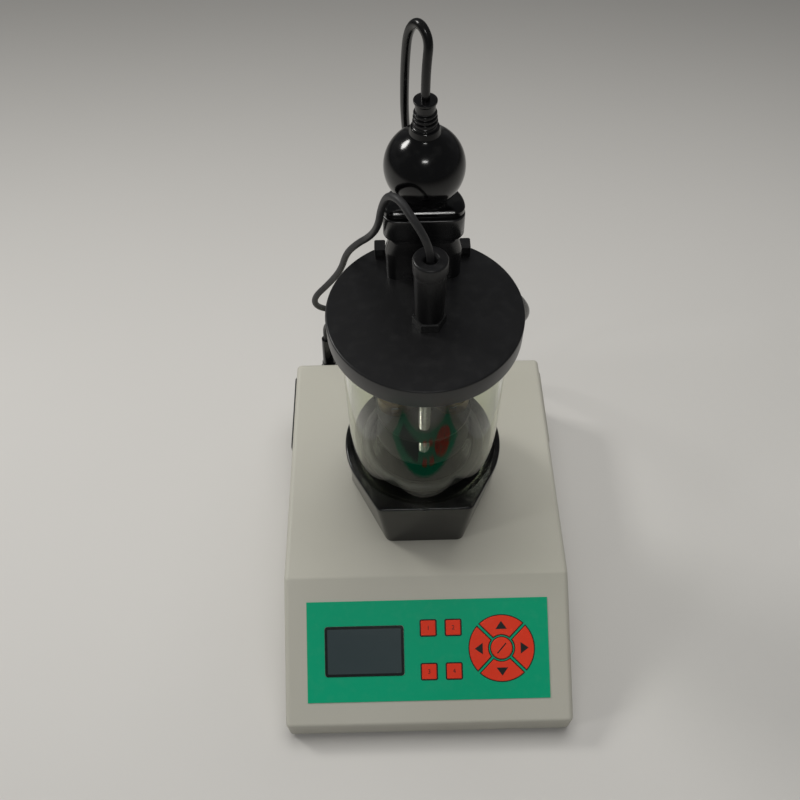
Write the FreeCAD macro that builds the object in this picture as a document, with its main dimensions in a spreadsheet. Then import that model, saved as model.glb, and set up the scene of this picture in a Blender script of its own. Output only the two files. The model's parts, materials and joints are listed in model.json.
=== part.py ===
import FreeCAD, Part
import math
import os
import Sketcher
from FreeCAD import Placement, Rotation, Vector

# Asphalt softening point tester: a sheet metal desk case with a sloping key panel, a magnetic stirrer
# under a beaker seat, and a lid that carries the ring-and-ball rack, the heater and the probe.
# Millimetres, +Z up, +X to the right and the key panel at -Y. The origin lies on the table,
# under the middle of the outline from the front lip to the cable gland behind the case.

os.makedirs("parts", exist_ok=True)
doc = FreeCAD.newDocument("softening_point_tester")
sheet = doc.addObject("Spreadsheet::Sheet", "Size")

SIZES = [
    ("case_width", 216, "outside width of the case"),
    ("case_depth", 298, "outside depth of the case"),
    ("case_top", 80, "height of the flat top above the table"),
    ("lip_top", 25, "height where the front lip turns into the sloping panel"),
    ("panel_run", 95.3, "depth that the sloping panel covers"),
    ("sheet_thick", 2, "case sheet"),
    ("case_round", 4, "outside rounding of the folded case edges"),
    ("fit_gap", 0.3, "gap round a piece that lies in another"),
    ("slide_gap", 0.2, "gap round a key"),
    ("run_gap", 0.05, "radial play of a shaft or rod in its hole"),
    ("foot_height", 4, "rubber foot height"),
    ("foot_radius", 9, "rubber foot radius at the table"),
    ("foot_inset", 22, "foot axis from the case sides"),
    ("rear_width", 192, "rear panel width"),
    ("rear_height", 54, "rear panel height"),
    ("rear_margin", 8, "rear panel overlap on the case wall"),
    ("gland_reach", 18, "how far the cable gland stands out behind the case"),
    ("gland_radius", 8, "cable gland radius"),
    ("gland_across", 68, "cable gland axis from the middle of the case"),
    ("port_height", 43, "height of the rear fittings' middle line"),
    ("inlet_across", 22, "power inlet from the middle of the case"),
    ("inlet_width", 28, "power inlet face width"),
    ("inlet_height", 22, "power inlet face height"),
    ("inlet_depth", 16, "power inlet body behind the panel"),
    ("inlet_cavity", 12, "depth of the inlet's hollow"),
    ("switch_across", -14, "rocker switch from the middle of the case"),
    ("switch_width", 15, "rocker switch bezel width"),
    ("switch_height", 21, "rocker switch bezel height"),
    ("rocker_width", 10, "rocker width"),
    ("rocker_half", 6.8, "half height of the rocker"),
    ("rocker_tilt", 8, "lean of the rocker at either end of its travel, degrees"),
    ("pivot_inset", 3, "rocker pivot behind the bezel face"),
    ("fuse_across", -46, "fuse holder from the middle of the case"),
    ("fuse_radius", 7, "fuse holder cap radius"),
    ("fuse_reach", 10, "fuse holder cap length"),
    ("sensor_across", -80.5, "sensor socket from the middle of the case"),
    ("sensor_height", 54, "sensor socket axis height"),
    ("sensor_radius", 8, "sensor socket radius"),
    ("sensor_reach", 4, "sensor socket collar length"),
    ("elbow_radius", 8.6, "sensor connector barrel radius"),
    ("elbow_length", 13, "sensor connector barrel length"),
    ("boot_radius", 5.6, "sensor connector boot radius at its foot"),
    ("boot_top", 100, "height of the top of the sensor connector boot"),
    ("vent_length", 74, "side vent length"),
    ("vent_height", 31, "side vent height"),
    ("vent_reach", 2.4, "side vent thickness outside the case wall"),
    ("vent_drop", 11, "side vent below the case top"),
    ("vent_setback", 6, "side vent from the back of the case"),
    ("slot_width", 4, "side vent slot width"),
    ("slot_pitch", 8, "side vent slot spacing"),
    ("overlay_width", 182, "green keypad overlay width"),
    ("overlay_height", 74.4, "green keypad overlay height"),
    ("overlay_thick", 0.5, "keypad overlay thickness"),
    ("overlay_rise", 17.6, "overlay's lower edge up the sloping panel"),
    ("window_width", 59.4, "display window width"),
    ("window_height", 36.9, "display window height"),
    ("window_across", -47.8, "display window from the middle of the panel"),
    ("window_thick", 0.9, "display window thickness"),
    ("window_corner", 2, "rounding of the display window's corners"),
    ("screen_width", 55.4, "visible screen width"),
    ("screen_height", 33, "visible screen height"),
    ("module_depth", 8, "display module thickness"),
    ("module_margin", 5, "display module beyond the screen on each side"),
    ("face_rise", 54.9, "middle line of the keys and the window up the sloping panel"),
    ("key_side", 11, "square key side"),
    ("key_column", 0.6, "first column of square keys from the middle of the panel"),
    ("key_pitch", 18.8, "square key columns apart"),
    ("key_rows", 32.2, "square key rows apart"),
    ("key_stand", 1.0, "key tops above the panel sheet"),
    ("key_depth", 4, "key stems below the outer face of the panel sheet"),
    ("key_travel", 0.4, "key travel"),
    ("pad_across", 55.5, "arrow pad from the middle of the panel"),
    ("pad_outer", 24.3, "arrow pad outer radius"),
    ("pad_inner", 10.2, "arrow keys' inner radius"),
    ("pad_gap", 3.0, "overlay web between two arrow keys"),
    ("pad_middle", 8.0, "round middle key radius"),
    ("board_width", 98, "key board width"),
    ("board_height", 58, "key board height"),
    ("board_thick", 1.6, "circuit board thickness"),
    ("tact_height", 3.4, "height of a key switch on the board"),
    ("tact_side", 6, "side of a key switch"),
    ("seat_setback", 183.2, "beaker axis behind the front lip"),
    ("seat_radius", 59, "stirrer seat outside radius, and its front facets from the axis"),
    ("seat_height", 53, "stirrer seat height"),
    ("seat_taper", 1.8, "how far the round back of the seat draws in towards its foot"),
    ("facet_taper", 5.5, "how far each end of the front facet draws in towards the foot"),
    ("facet_end", 4, "rear end of the side facets at the foot, in front of the axis"),
    ("rim_band", 4, "upright band round the top of the seat"),
    ("seat_corner", 6, "rounding of the two front corners of the seat"),
    ("seat_edge", 1.5, "rounding of the seat's top edge"),
    ("seat_floor", 5, "seat floor under the beaker"),
    ("seat_wall", 4, "seat wall round the beaker recess at its thinnest"),
    ("recess_depth", 7, "beaker recess depth"),
    ("hollow_radius", 42, "hollow under the seat"),
    ("notch_width", 4, "notch in the front of the recess wall"),
    ("notch_depth", 2, "notch below the seat's top"),
    ("beaker_play", 1, "gap round the beaker in its recess"),
    ("beaker_height", 145, "beaker height"),
    ("beaker_wall", 2.2, "beaker wall"),
    ("beaker_floor", 2.5, "beaker floor"),
    ("beaker_heel", 8, "rounding at the foot of the beaker"),
    ("rim_flare", 1.2, "how far the beaker's rim turns out"),
    ("rim_height", 4, "height of the beaker's turned-out rim"),
    ("bar_length", 30, "stir bar length"),
    ("bar_radius", 3.8, "stir bar radius"),
    ("motor_radius", 21, "stirrer motor radius"),
    ("motor_length", 40, "stirrer motor length"),
    ("boss_radius", 8, "motor boss radius"),
    ("boss_height", 4, "motor boss height"),
    ("shaft_radius", 2.5, "motor shaft radius"),
    ("shaft_depth", 14, "motor shaft inside the motor"),
    ("bracket_side", 56, "motor bracket side"),
    ("bracket_thick", 2, "motor bracket thickness"),
    ("bracket_skirt", 12, "motor bracket flange height"),
    ("hub_radius", 24, "drive hub radius"),
    ("hub_height", 12, "drive hub height"),
    ("hub_lift", 14, "drive hub above the case top"),
    ("magnet_radius", 7, "drive magnet radius"),
    ("magnet_height", 8, "drive magnet height"),
    ("magnet_arm", 14, "drive magnets from the axis"),
    ("lid_overhang", 5.9, "lid beyond the beaker's turned-out rim"),
    ("lid_thick", 15.9, "lid thickness"),
    ("lid_edge", 1, "lid edge rounding"),
    ("lid_recess", 1.6, "how far the lid drops over the beaker's rim"),
    ("lid_play", 1, "lid recess round the beaker's rim"),
    ("rod_radius", 4, "rack rod radius"),
    ("rod_arm", 21, "rack rods in front of and behind the axis"),
    ("rod_drop", 119, "rack rod below the beaker's rim"),
    ("rod_grip", 7, "rack rod inside the lid"),
    ("cap_radius", 6, "cap nut radius"),
    ("cap_height", 6, "cap nut height below its dome's base"),
    ("plate_radius", 34, "rack plate radius"),
    ("plate_thick", 2, "rack plate thickness"),
    ("plate_gap", 25.4, "from the bottom of the rings to the lower plate"),
    ("plate_lift", 4.4, "lower plate above the foot of the rods"),
    ("ring_arm", 20, "sample rings from the axis"),
    ("ring_outer", 11.5, "sample ring shoulder radius"),
    ("ring_lower", 9.9, "sample ring radius below the shoulder"),
    ("ring_bore", 7.95, "sample ring bore radius at the bottom"),
    ("ring_mouth", 8.75, "sample ring bore radius at the top"),
    ("ring_height", 6.4, "sample ring height"),
    ("shoulder_height", 2, "sample ring shoulder height"),
    ("guide_wall", 0.8, "ball guide wall"),
    ("guide_height", 9, "ball guide above the sample ring's shoulder"),
    ("guide_mouth", 4.9, "ball guide centring hole radius"),
    ("guide_window", 5, "ball guide window width"),
    ("probe_radius", 3, "temperature probe radius"),
    ("probe_drop", 125, "temperature probe below the beaker's rim"),
    ("probe_across", 2.2, "probe and handle from the middle plane"),
    ("probe_front", 8.9, "probe and handle in front of the beaker axis"),
    ("handle_top", 10.2, "sensor handle radius at the top"),
    ("handle_foot", 8.8, "sensor handle radius at the foot"),
    ("handle_height", 54.2, "sensor handle above the lid"),
    ("handle_collar", 10, "height of the collar line below the handle's top"),
    ("handle_bore", 3.6, "cable hole radius in the handle"),
    ("handle_well", 6, "cable hole depth"),
    ("stem_radius", 6, "handle's threaded stem radius"),
    ("stem_depth", 8, "handle's threaded stem inside the lid"),
    ("nut_across", 18, "hex nut across flats"),
    ("nut_height", 7, "hex nut height"),
    ("socket_front", 10.2, "heater socket axis in front of the line of the heater loop"),
    ("socket_foot", 23.4, "heater socket foot radius"),
    ("foot_flat", 7, "flat front of the socket foot from its axis"),
    ("foot_band", 20.7, "height of the heater socket foot"),
    ("waist_slope", 9, "height over which the socket draws in to its waist"),
    ("socket_waist", 20.7, "heater socket waist radius"),
    ("waist_flat", 5.6, "flat front of the waist from the socket axis"),
    ("waist_band", 2, "height of the heater socket waist"),
    ("collar_slope", 2.7, "height over which the collar spreads"),
    ("socket_collar", 24.2, "heater socket collar radius"),
    ("collar_flat", 8.2, "flat front of the collar from the socket axis"),
    ("socket_height", 49.7, "heater socket height above the lid"),
    ("pin_arm", 9.5, "plug pins from the socket axis"),
    ("pin_radius", 2.4, "plug pin radius"),
    ("pin_length", 19, "plug pin length"),
    ("ear_across", 27, "socket ears from the middle plane"),
    ("ear_width", 7, "socket ear width"),
    ("ear_depth", 9, "socket ear depth"),
    ("ear_height", 8.5, "socket ear height"),
    ("ear_back", 15.2, "socket ears behind the socket axis"),
    ("strap_thick", 3, "strap that joins the socket ears"),
    ("coil_gap", 9.8, "heater loop's middle line inside the glass"),
    ("coil_tube", 3.5, "heater tube radius"),
    ("coil_lift", 9.5, "heater loop above the beaker floor"),
    ("coil_bend", 8, "heater tube bend radius"),
    ("coil_open", 18, "half of the loop's open angle at the back, degrees"),
    ("flange_radius", 23.8, "plug flange radius"),
    ("flange_flat", 6.5, "flat front of the plug flange from its axis"),
    ("flange_height", 5.5, "plug flange height"),
    ("neck_radius", 12.6, "plug neck radius above the flange"),
    ("neck_rise", 11, "top of the plug neck above the socket"),
    ("ball_radius", 22.7, "plug grip radius"),
    ("ball_rise", 34, "plug grip's widest place above the socket"),
    ("ball_round", 14.5, "rounding of the grip's widest place"),
    ("ball_half", 7, "half height of that rounding"),
    ("shoulder_radius", 9.3, "plug shoulder radius"),
    ("shoulder_rise", 60, "plug shoulder above the socket"),
    ("sleeve_foot", 8.4, "cable sleeve foot radius"),
    ("sleeve_top", 6.3, "cable sleeve lip radius"),
    ("sleeve_neck", 5.2, "cable sleeve neck radius under the lip"),
    ("sleeve_height", 16, "cable sleeve height"),
    ("sleeve_ribs", 4, "ribs on the cable sleeve"),
    ("rib_reach", 0.7, "how far a rib stands out"),
    ("heater_cable", 4.8, "heater cable diameter"),
    ("sensor_cable", 4.4, "sensor cable diameter"),
    ("core_length", 60, "transformer core length"),
    ("core_width", 50, "transformer core width"),
    ("core_height", 40, "transformer core height"),
    ("coil_swell", 6, "transformer winding beyond the core"),
    ("core_setback", 50, "transformer in front of the case back"),
    ("core_overlap", 8, "winding inside the core on each side"),
    ("winding_inset", 11, "winding in from each end of the core"),
    ("winding_lift", 7, "winding above the foot of the core and below its top"),
    ("supply_width", 76, "power board width"),
    ("supply_depth", 72, "power board depth"),
    ("supply_inward", 6, "power board in from a quarter of the case width"),
    ("supply_setback", 54, "power board in front of the case back"),
    ("post_height", 8, "board post height"),
    ("post_inset", 4, "board posts in from the board's edges"),
    ("post_nib", 1, "board post above the board"),
    ("tank_setback", 18, "capacitors in front of the power board's middle"),
    ("tank_first", -24, "large capacitor from the power board's middle"),
    ("tank_pitch", 14, "capacitors apart"),
    ("tank_radius", 6, "large capacitor radius"),
    ("tank_height", 18, "large capacitor height"),
    ("tank_small", 5, "small capacitor radius"),
    ("tank_low", 14, "small capacitor height"),
    ("sink_across", 20, "heat sink from the power board's middle"),
    ("sink_front", 10, "heat sink in front of the power board's middle"),
    ("sink_thick", 4, "heat sink thickness"),
    ("sink_length", 30, "heat sink length"),
    ("sink_height", 20, "heat sink height"),
    ("relay_across", -12, "relay from the power board's middle"),
    ("relay_back", 16, "relay behind the power board's middle"),
    ("relay_length", 30, "relay length"),
    ("relay_width", 16, "relay width"),
    ("relay_height", 12, "relay height"),
    ("post_radius", 3, "board post radius"),
]

for row, (word, amount, meaning) in enumerate(SIZES, start=1):
    sheet.set(f"A{row}", word)
    sheet.set(f"B{row}", str(amount))
    sheet.set(f"C{row}", meaning)
    sheet.setAlias(f"B{row}", word)
doc.recompute()

pieces = []


def number(rule):
    """The value of a rule written in words from the sheet."""
    return float(sheet.evalExpression(str(rule)))


def S(words):
    """A rule with each sheet word named in full, so 'case_width / 2' reads Size.case_width / 2."""
    known = {word for word, amount, meaning in SIZES}
    out = []
    word = ""
    for letter in str(words) + " ":
        if letter.isalnum() or letter == "_":
            word += letter
            continue
        out.append("Size." + word if word in known else word)
        out.append(letter)
        word = ""
    return "".join(out).strip()


def finish_piece(thing, label):
    """Names a sub-part and puts it on the list of pieces to write."""
    thing.Label = label
    pieces.append(thing)
    return thing


def place(thing, x=0, y=0, z=0, turn=None):
    """Puts a piece at a place given by sheet rules."""
    spot = Vector(number(S(x)), number(S(y)), number(S(z)))
    thing.Placement = Placement(spot, turn or Rotation())
    return thing


def new_body(name):
    return doc.addObject("PartDesign::Body", name)


def new_sketch(body, role, name="outline", lift=None):
    """A sketch on one of the body's own planes, lifted along the plane's normal by a sheet rule."""
    sketch = body.newObject("Sketcher::SketchObject", name)
    plane = [item for item in body.Origin.OriginFeatures if item.Role == role][0]
    sketch.AttachmentSupport = [(plane, "")]
    sketch.MapMode = "FlatFace"
    if lift is not None:
        sketch.AttachmentOffset = Placement(Vector(0, 0, number(S(lift))), Rotation())
        sketch.setExpression("AttachmentOffset.Base.z", S(lift))
    return sketch


def tie(sketch, kind, geometry, point, rule):
    """Holds a point's distance from the origin, along X or Y, to a sheet rule."""
    held = sketch.addConstraint(Sketcher.Constraint(kind, -1, 1, geometry, point, number(S(rule))))
    sketch.setExpression(f"Constraints[{held}]", S(rule))


def draw_outline(sketch, corners):
    """Closed outline. A corner is (across, up), or (across, up, side, radius) where an arc starts."""
    spots = [Vector(number(S(corner[0])), number(S(corner[1])), 0) for corner in corners]
    edges = []
    for index, corner in enumerate(corners):
        start = spots[index]
        end = spots[(index + 1) % len(spots)]
        if len(corner) == 2:
            edges.append((sketch.addGeometry(Part.LineSegment(start, end), False), 1, 2))
            continue
        radius = number(S(corner[3]))
        middle = (start + end) / 2
        along = (end - start).normalize()
        left = Vector(-along.y, along.x, 0)
        inset = math.sqrt(max(radius ** 2 - ((end - start).Length / 2) ** 2, 0))
        centre = middle + left * (inset if corner[2] == "left" else -inset)
        first = math.atan2(start.y - centre.y, start.x - centre.x)
        last = math.atan2(end.y - centre.y, end.x - centre.x)
        if corner[2] == "left":
            ends = (first, last)
        else:
            ends = (last, first)
        circle = Part.Circle(centre, Vector(0, 0, 1), radius)
        arc = sketch.addGeometry(Part.ArcOfCircle(circle, ends[0], ends[1]), False)
        held = sketch.addConstraint(Sketcher.Constraint("Radius", arc, radius))
        sketch.setExpression(f"Constraints[{held}]", S(corner[3]))
        edges.append((arc, 1, 2) if corner[2] == "left" else (arc, 2, 1))
    for index, (edge, first, last) in enumerate(edges):
        following, entry, leaving = edges[(index + 1) % len(edges)]
        sketch.addConstraint(Sketcher.Constraint("Coincident", edge, last, following, entry))
        tie(sketch, "DistanceX", edge, first, corners[index][0])
        tie(sketch, "DistanceY", edge, first, corners[index][1])


def draw_circle(sketch, across, up, radius):
    spot = Vector(number(S(across)), number(S(up)), 0)
    circle = sketch.addGeometry(Part.Circle(spot, Vector(0, 0, 1), number(S(radius))), False)
    tie(sketch, "DistanceX", circle, 3, across)
    tie(sketch, "DistanceY", circle, 3, up)
    held = sketch.addConstraint(Sketcher.Constraint("Radius", circle, number(S(radius))))
    sketch.setExpression(f"Constraints[{held}]", S(radius))


def draw_box(sketch, across, up, width, height):
    """A rectangle about a middle point, all given by sheet rules."""
    left = f"{across} - ({width}) / 2"
    right = f"{across} + ({width}) / 2"
    low = f"{up} - ({height}) / 2"
    high = f"{up} + ({height}) / 2"
    draw_outline(sketch, [(left, low), (right, low), (right, high), (left, high)])


def draw_rounded_box(sketch, across, up, width, height, corner):
    """A rectangle about a middle point with rounded corners."""
    left = f"{across} - ({width}) / 2"
    right = f"{across} + ({width}) / 2"
    low = f"{up} - ({height}) / 2"
    high = f"{up} + ({height}) / 2"
    draw_outline(sketch, [
        (f"{left} + {corner}", low), (f"{right} - {corner}", low, "left", corner),
        (right, f"{low} + {corner}"), (right, f"{high} - {corner}", "left", corner),
        (f"{right} - {corner}", high), (f"{left} + {corner}", high, "left", corner),
        (left, f"{high} - {corner}"), (left, f"{low} + {corner}", "left", corner),
    ])


def draw_flat_fronted(sketch, radius, front):
    """A round outline cut flat at the front, with corners rounded by the flat's distance from the axis."""
    draw_outline(sketch, [
        (f"-({radius} - {front})", f"-{front}"), (f"{radius} - {front}", f"-{front}", "left", front),
        (radius, "0", "left", radius), ("0", radius, "left", radius), (f"-{radius}", "0", "left", front),
    ])


def loft(body, low, high):
    """Joins two outlines of the same kind by straight walls."""
    feature = body.newObject("PartDesign::AdditiveLoft", "loft")
    feature.Profile = low
    feature.Sections = [high]
    feature.Ruled = True
    doc.recompute()
    return feature


def pad(body, sketch, length, both=False):
    feature = body.newObject("PartDesign::Pad", "pad")
    feature.Profile = sketch
    feature.Length = number(S(length))
    feature.setExpression("Length", S(length))
    if both:
        feature.SideType = "Symmetric"
    doc.recompute()
    return feature


def pocket(body, sketch, length, forward=False):
    """Cuts against the sketch normal, or along it when forward is set, and checks that it cut."""
    before = body.Shape.Volume
    feature = body.newObject("PartDesign::Pocket", "pocket")
    feature.Profile = sketch
    feature.Length = number(S(length))
    feature.setExpression("Length", S(length))
    feature.Reversed = forward
    doc.recompute()
    if body.Shape.Volume > before - 1e-6:
        raise RuntimeError(f"{body.Name}: a pocket cut nothing")
    return feature


def turn_about(body, sketch):
    feature = body.newObject("PartDesign::Revolution", "turning")
    feature.Profile = sketch
    feature.ReferenceAxis = (sketch, ["V_Axis"])
    feature.Angle = 360
    doc.recompute()
    return feature


def round_edges(body, chosen, radius, kind="PartDesign::Fillet"):
    """Rounds or chamfers the tip's edges that the chosen test picks."""
    base = body.Tip
    names = [f"Edge{index}" for index, edge in enumerate(base.Shape.Edges, start=1) if chosen(edge)]
    feature = body.newObject(kind, "edges")
    feature.Base = (base, names)
    word = "Radius" if kind.endswith("Fillet") else "Size"
    setattr(feature, word, number(S(radius)))
    feature.setExpression(word, S(radius))
    doc.recompute()
    return feature


def turned(label, corners, x=0, y=0, z=0, tilt=None):
    """A turned piece: its outline is given as radius and height."""
    body = new_body(label)
    sketch = new_sketch(body, "XZ_Plane")
    draw_outline(sketch, corners)
    turn_about(body, sketch)
    place(body, x, y, z, tilt)
    return finish_piece(body, label)


def plate(label, across, up, width, height, thick, lift=0):
    """A flat plate in the XY plane of its body."""
    body = new_body(label)
    sketch = new_sketch(body, "XY_Plane", lift=lift)
    draw_box(sketch, across, up, width, height)
    pad(body, sketch, thick)
    return body


def box_tool(x, y, z, width, depth, height, turn=None, base=None):
    """A block used for cutting or joining. Its place is its middle on X and Y and its foot on Z."""
    block = doc.addObject("Part::Box", "block")
    for word, rule in (("Length", width), ("Width", depth), ("Height", height)):
        block.setExpression(word, S(rule))
    shift = Vector(-number(S(width)) / 2, -number(S(depth)) / 2, 0)
    spot = Placement(Vector(number(S(x)), number(S(y)), number(S(z))), turn or Rotation())
    block.Placement = (base or Placement()) * spot * Placement(shift, Rotation())
    return block


def round_tool(x, y, z, radius, height, turn=None, base=None):
    """A cylinder used for cutting or joining, standing on its place."""
    cylinder = doc.addObject("Part::Cylinder", "round")
    cylinder.setExpression("Radius", S(radius))
    cylinder.setExpression("Height", S(height))
    spot = Placement(Vector(number(S(x)), number(S(y)), number(S(z))), turn or Rotation())
    cylinder.Placement = (base or Placement()) * spot
    return cylinder


def joined(tools):
    """One shape from several blocks."""
    if len(tools) == 1:
        return tools[0]
    fuse = doc.addObject("Part::MultiFuse", "tools")
    fuse.Shapes = tools
    return fuse


def cut(label, base, tools):
    """A piece with material taken away."""
    result = doc.addObject("Part::Cut", label)
    result.Base = base
    result.Tool = joined(tools)
    doc.recompute()
    base.Label = label + "_uncut"
    if base in pieces:
        pieces.remove(base)
    return finish_piece(result, label)


def fused(label, parts):
    """A piece made of several shapes in one."""
    result = joined(parts)
    doc.recompute()
    for part in parts:
        if part in pieces:
            pieces.remove(part)
            part.Label = label + "_blank"
    return finish_piece(result, label)


FRONT = "-(case_depth + gland_reach) / 2"
BACK = "(case_depth - gland_reach) / 2"
AXIS = f"({FRONT} + seat_setback)"
WALL = "sheet_thick"

PANEL_RISE = number(S("case_top - lip_top"))
PANEL_ANGLE = math.degrees(math.atan2(PANEL_RISE, number(S("panel_run"))))
PANEL_TILT = Rotation(Vector(1, 0, 0), PANEL_ANGLE)
PANEL = Placement(Vector(0, number(S(FRONT)), number(S("lip_top"))), PANEL_TILT)
BACKWARD = Rotation(Vector(1, 0, 0), -90)
REAR_FACE = f"({BACK} + {WALL})"

KEY_PLACES = {
    "key_1": ("key_column", "face_rise + key_rows / 2"),
    "key_2": ("key_column + key_pitch", "face_rise + key_rows / 2"),
    "key_3": ("key_column", "face_rise - key_rows / 2"),
    "key_4": ("key_column + key_pitch", "face_rise - key_rows / 2"),
}
ARROW_TURNS = {"key_right": 0, "key_up": 90, "key_left": 180, "key_down": 270}
ARROW_REACH = "(pad_outer + pad_inner) / 2"


def on_panel(thing, x="0", y="0", z="0", turn=0):
    """Puts a piece in the frame of the sloping panel: x across, y up the slope, z out of it."""
    spot = Vector(number(S(x)), number(S(y)), number(S(z)))
    thing.Placement = PANEL * Placement(spot, Rotation(Vector(0, 0, 1), turn))
    return thing


def arrow_outline(extra):
    """One quarter of the arrow pad with straight sides beside the diagonals, grown by extra."""
    gap = f"(pad_gap / 2 - {extra})"
    outer = f"(pad_outer + {extra})"
    inner = f"(pad_inner - {extra})"
    far = f"sqrt({outer} ^ 2 - {gap} ^ 2)"
    near = f"sqrt({inner} ^ 2 - {gap} ^ 2)"
    half = "sqrt(0.5)"
    return [
        (f"({near} + {gap}) * {half}", f"-({near} - {gap}) * {half}"),
        (f"({far} + {gap}) * {half}", f"-({far} - {gap}) * {half}", "left", outer),
        (f"({far} + {gap}) * {half}", f"({far} - {gap}) * {half}"),
        (f"({near} + {gap}) * {half}", f"({near} - {gap}) * {half}", "right", inner),
    ]


def turn_corners(corners, degrees):
    """The same outline turned by a whole number of quarter turns."""
    result = []
    for corner in corners:
        across, up = corner[0], corner[1]
        for quarter in range(degrees // 90):
            across, up = f"-({up})", across
        result.append((across, up) + tuple(corner[2:]))
    return result


def make_case_cover():
    """Folded sheet cover: front lip, sloping panel, flat top, sides and back in one shell."""
    body = new_body("case_cover")
    side = new_sketch(body, "YZ_Plane")
    draw_outline(side, [
        (FRONT, "foot_height"), (BACK, "foot_height"), (BACK, "case_top"),
        (f"{FRONT} + panel_run", "case_top"), (FRONT, "lip_top"),
    ])
    pad(body, side, "case_width", both=True)
    low = number(S("foot_height"))
    round_edges(body, lambda edge: edge.BoundBox.ZMax > low + 1, "case_round")
    slope = "((case_top - lip_top) / panel_run)"
    drop = f"({WALL} * sqrt(1 + {slope} ^ 2))"
    inner = new_body("case_inside")
    profile = new_sketch(inner, "YZ_Plane")
    draw_outline(profile, [
        (f"{FRONT} + {WALL}", "foot_height - 1"), (f"{BACK} - {WALL}", "foot_height - 1"),
        (f"{BACK} - {WALL}", f"case_top - {WALL}"),
        (f"{FRONT} + (case_top - {WALL} - lip_top + {drop}) / {slope}", f"case_top - {WALL}"),
        (f"{FRONT} + {WALL}", f"lip_top + {slope} * {WALL} - {drop}"),
    ])
    pad(inner, profile, f"case_width - 2 * {WALL}", both=True)
    round_edges(inner, lambda edge: edge.BoundBox.ZMax > low, f"case_round - {WALL}")
    depth = f"3 * {WALL}"
    tools = [
        inner,
        round_tool(0, AXIS, f"case_top - 2 * {WALL}", "boss_radius + 4", depth),
        box_tool("window_across", "face_rise", f"-2 * {WALL}", "screen_width", "screen_height",
                 depth, base=PANEL),
        round_tool("pad_across", "face_rise", f"-2 * {WALL}", "pad_outer + slide_gap", depth, base=PANEL),
        box_tool(0, BACK, "port_height - rear_height / 2 + rear_margin",
                 "rear_width - 2 * rear_margin", depth, "rear_height - 2 * rear_margin"),
        box_tool(0, f"{BACK} - vent_setback - vent_length / 2", "case_top - vent_drop - vent_height + 4",
                 "case_width + 4", "vent_length - 8", "vent_height - 8"),
    ]
    for across, up in KEY_PLACES.values():
        tools.append(box_tool(across, up, f"-2 * {WALL}", "key_side + 2 * slide_gap",
                              "key_side + 2 * slide_gap", depth, base=PANEL))
    return cut("case_cover", body, tools)


def make_base_plate():
    inside = f"({WALL} + fit_gap)"
    body = plate("base_plate", 0, f"({FRONT} + {BACK}) / 2", f"case_width - 2 * {inside}",
                 f"case_depth - 2 * {inside}", WALL, lift="foot_height")
    round_edges(body, lambda edge: edge.BoundBox.ZLength > 1 and edge.BoundBox.XLength < 0.01,
                "case_round - sheet_thick")
    finish_piece(body, "base_plate")


def make_feet():
    """Four tapered rubber feet under the base plate."""
    for side, side_sign in (("left", -1), ("right", 1)):
        for end, along in (("front", f"{FRONT} + foot_inset"), ("rear", f"{BACK} - foot_inset")):
            turned(f"foot_{end}_{side}", [
                ("0", "0"), ("foot_radius * 0.9", "0"), ("foot_radius", "1"),
                ("foot_radius - 1.5", "foot_height"), ("0", "foot_height"),
            ], x=f"{side_sign} * (case_width / 2 - foot_inset)", y=along)


def rear_round(label, corners, across, height):
    """A round rear fitting: its outline is radius and distance behind the outer panel face."""
    body = turned(label, corners, x=across, y=REAR_FACE, z=height, tilt=BACKWARD)
    return body


def make_rear_panel():
    """Panel plate on the back wall with a hole for each fitting."""
    body = new_body("rear_panel")
    face = new_sketch(body, "XZ_Plane")
    draw_box(face, "0", "port_height", "rear_width", "rear_height")
    pad(body, face, WALL)
    place(body, 0, REAR_FACE, 0)
    tools = [
        box_tool("inlet_across", BACK, "port_height - (inlet_height - 4) / 2", "inlet_width - 4",
                 f"3 * {WALL}", "inlet_height - 4"),
        box_tool("switch_across", BACK, "port_height - (switch_height - 3) / 2", "switch_width - 3",
                 f"3 * {WALL}", "switch_height - 3"),
        round_tool("fuse_across", BACK, "port_height", "fuse_radius - 1.5", f"3 * {WALL}", BACKWARD),
        round_tool("sensor_across", BACK, "sensor_height", "sensor_radius - 2", f"3 * {WALL}", BACKWARD),
        round_tool("gland_across", BACK, "port_height", "gland_radius - 2", f"3 * {WALL}", BACKWARD),
    ]
    cut("rear_panel", body, tools)


def make_power_inlet():
    """Three-pin inlet: face flange outside, body through the panel, hollow with three blades."""
    flange = box_tool("inlet_across", f"{REAR_FACE} + 1.25", "port_height - inlet_height / 2",
                      "inlet_width", 2.5, "inlet_height")
    shell = box_tool("inlet_across", f"{REAR_FACE} - inlet_depth / 2",
                     "port_height - (inlet_height - 4) / 2 + fit_gap",
                     "inlet_width - 4 - 2 * fit_gap", "inlet_depth",
                     "inlet_height - 4 - 2 * fit_gap")
    blank = fused("power_inlet_blank", [flange, shell])
    hollow = box_tool("inlet_across", f"{REAR_FACE} + 2.5 - inlet_cavity / 2 + 0.5",
                      "port_height - (inlet_height - 8) / 2", "inlet_width - 8",
                      "inlet_cavity + 1", "inlet_height - 8")
    shell_only = cut("power_inlet_shell", blank, [hollow])
    blades = []
    for across, rise in ((-6, -1.5), (0, 3), (6, -1.5)):
        blades.append(box_tool(f"inlet_across + {across}", f"{REAR_FACE} + 2.5 - inlet_cavity / 2 - 0.5",
                               f"port_height + {rise} - 2", 2, "inlet_cavity", 4))
    fused("power_inlet", [shell_only] + blades)


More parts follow.
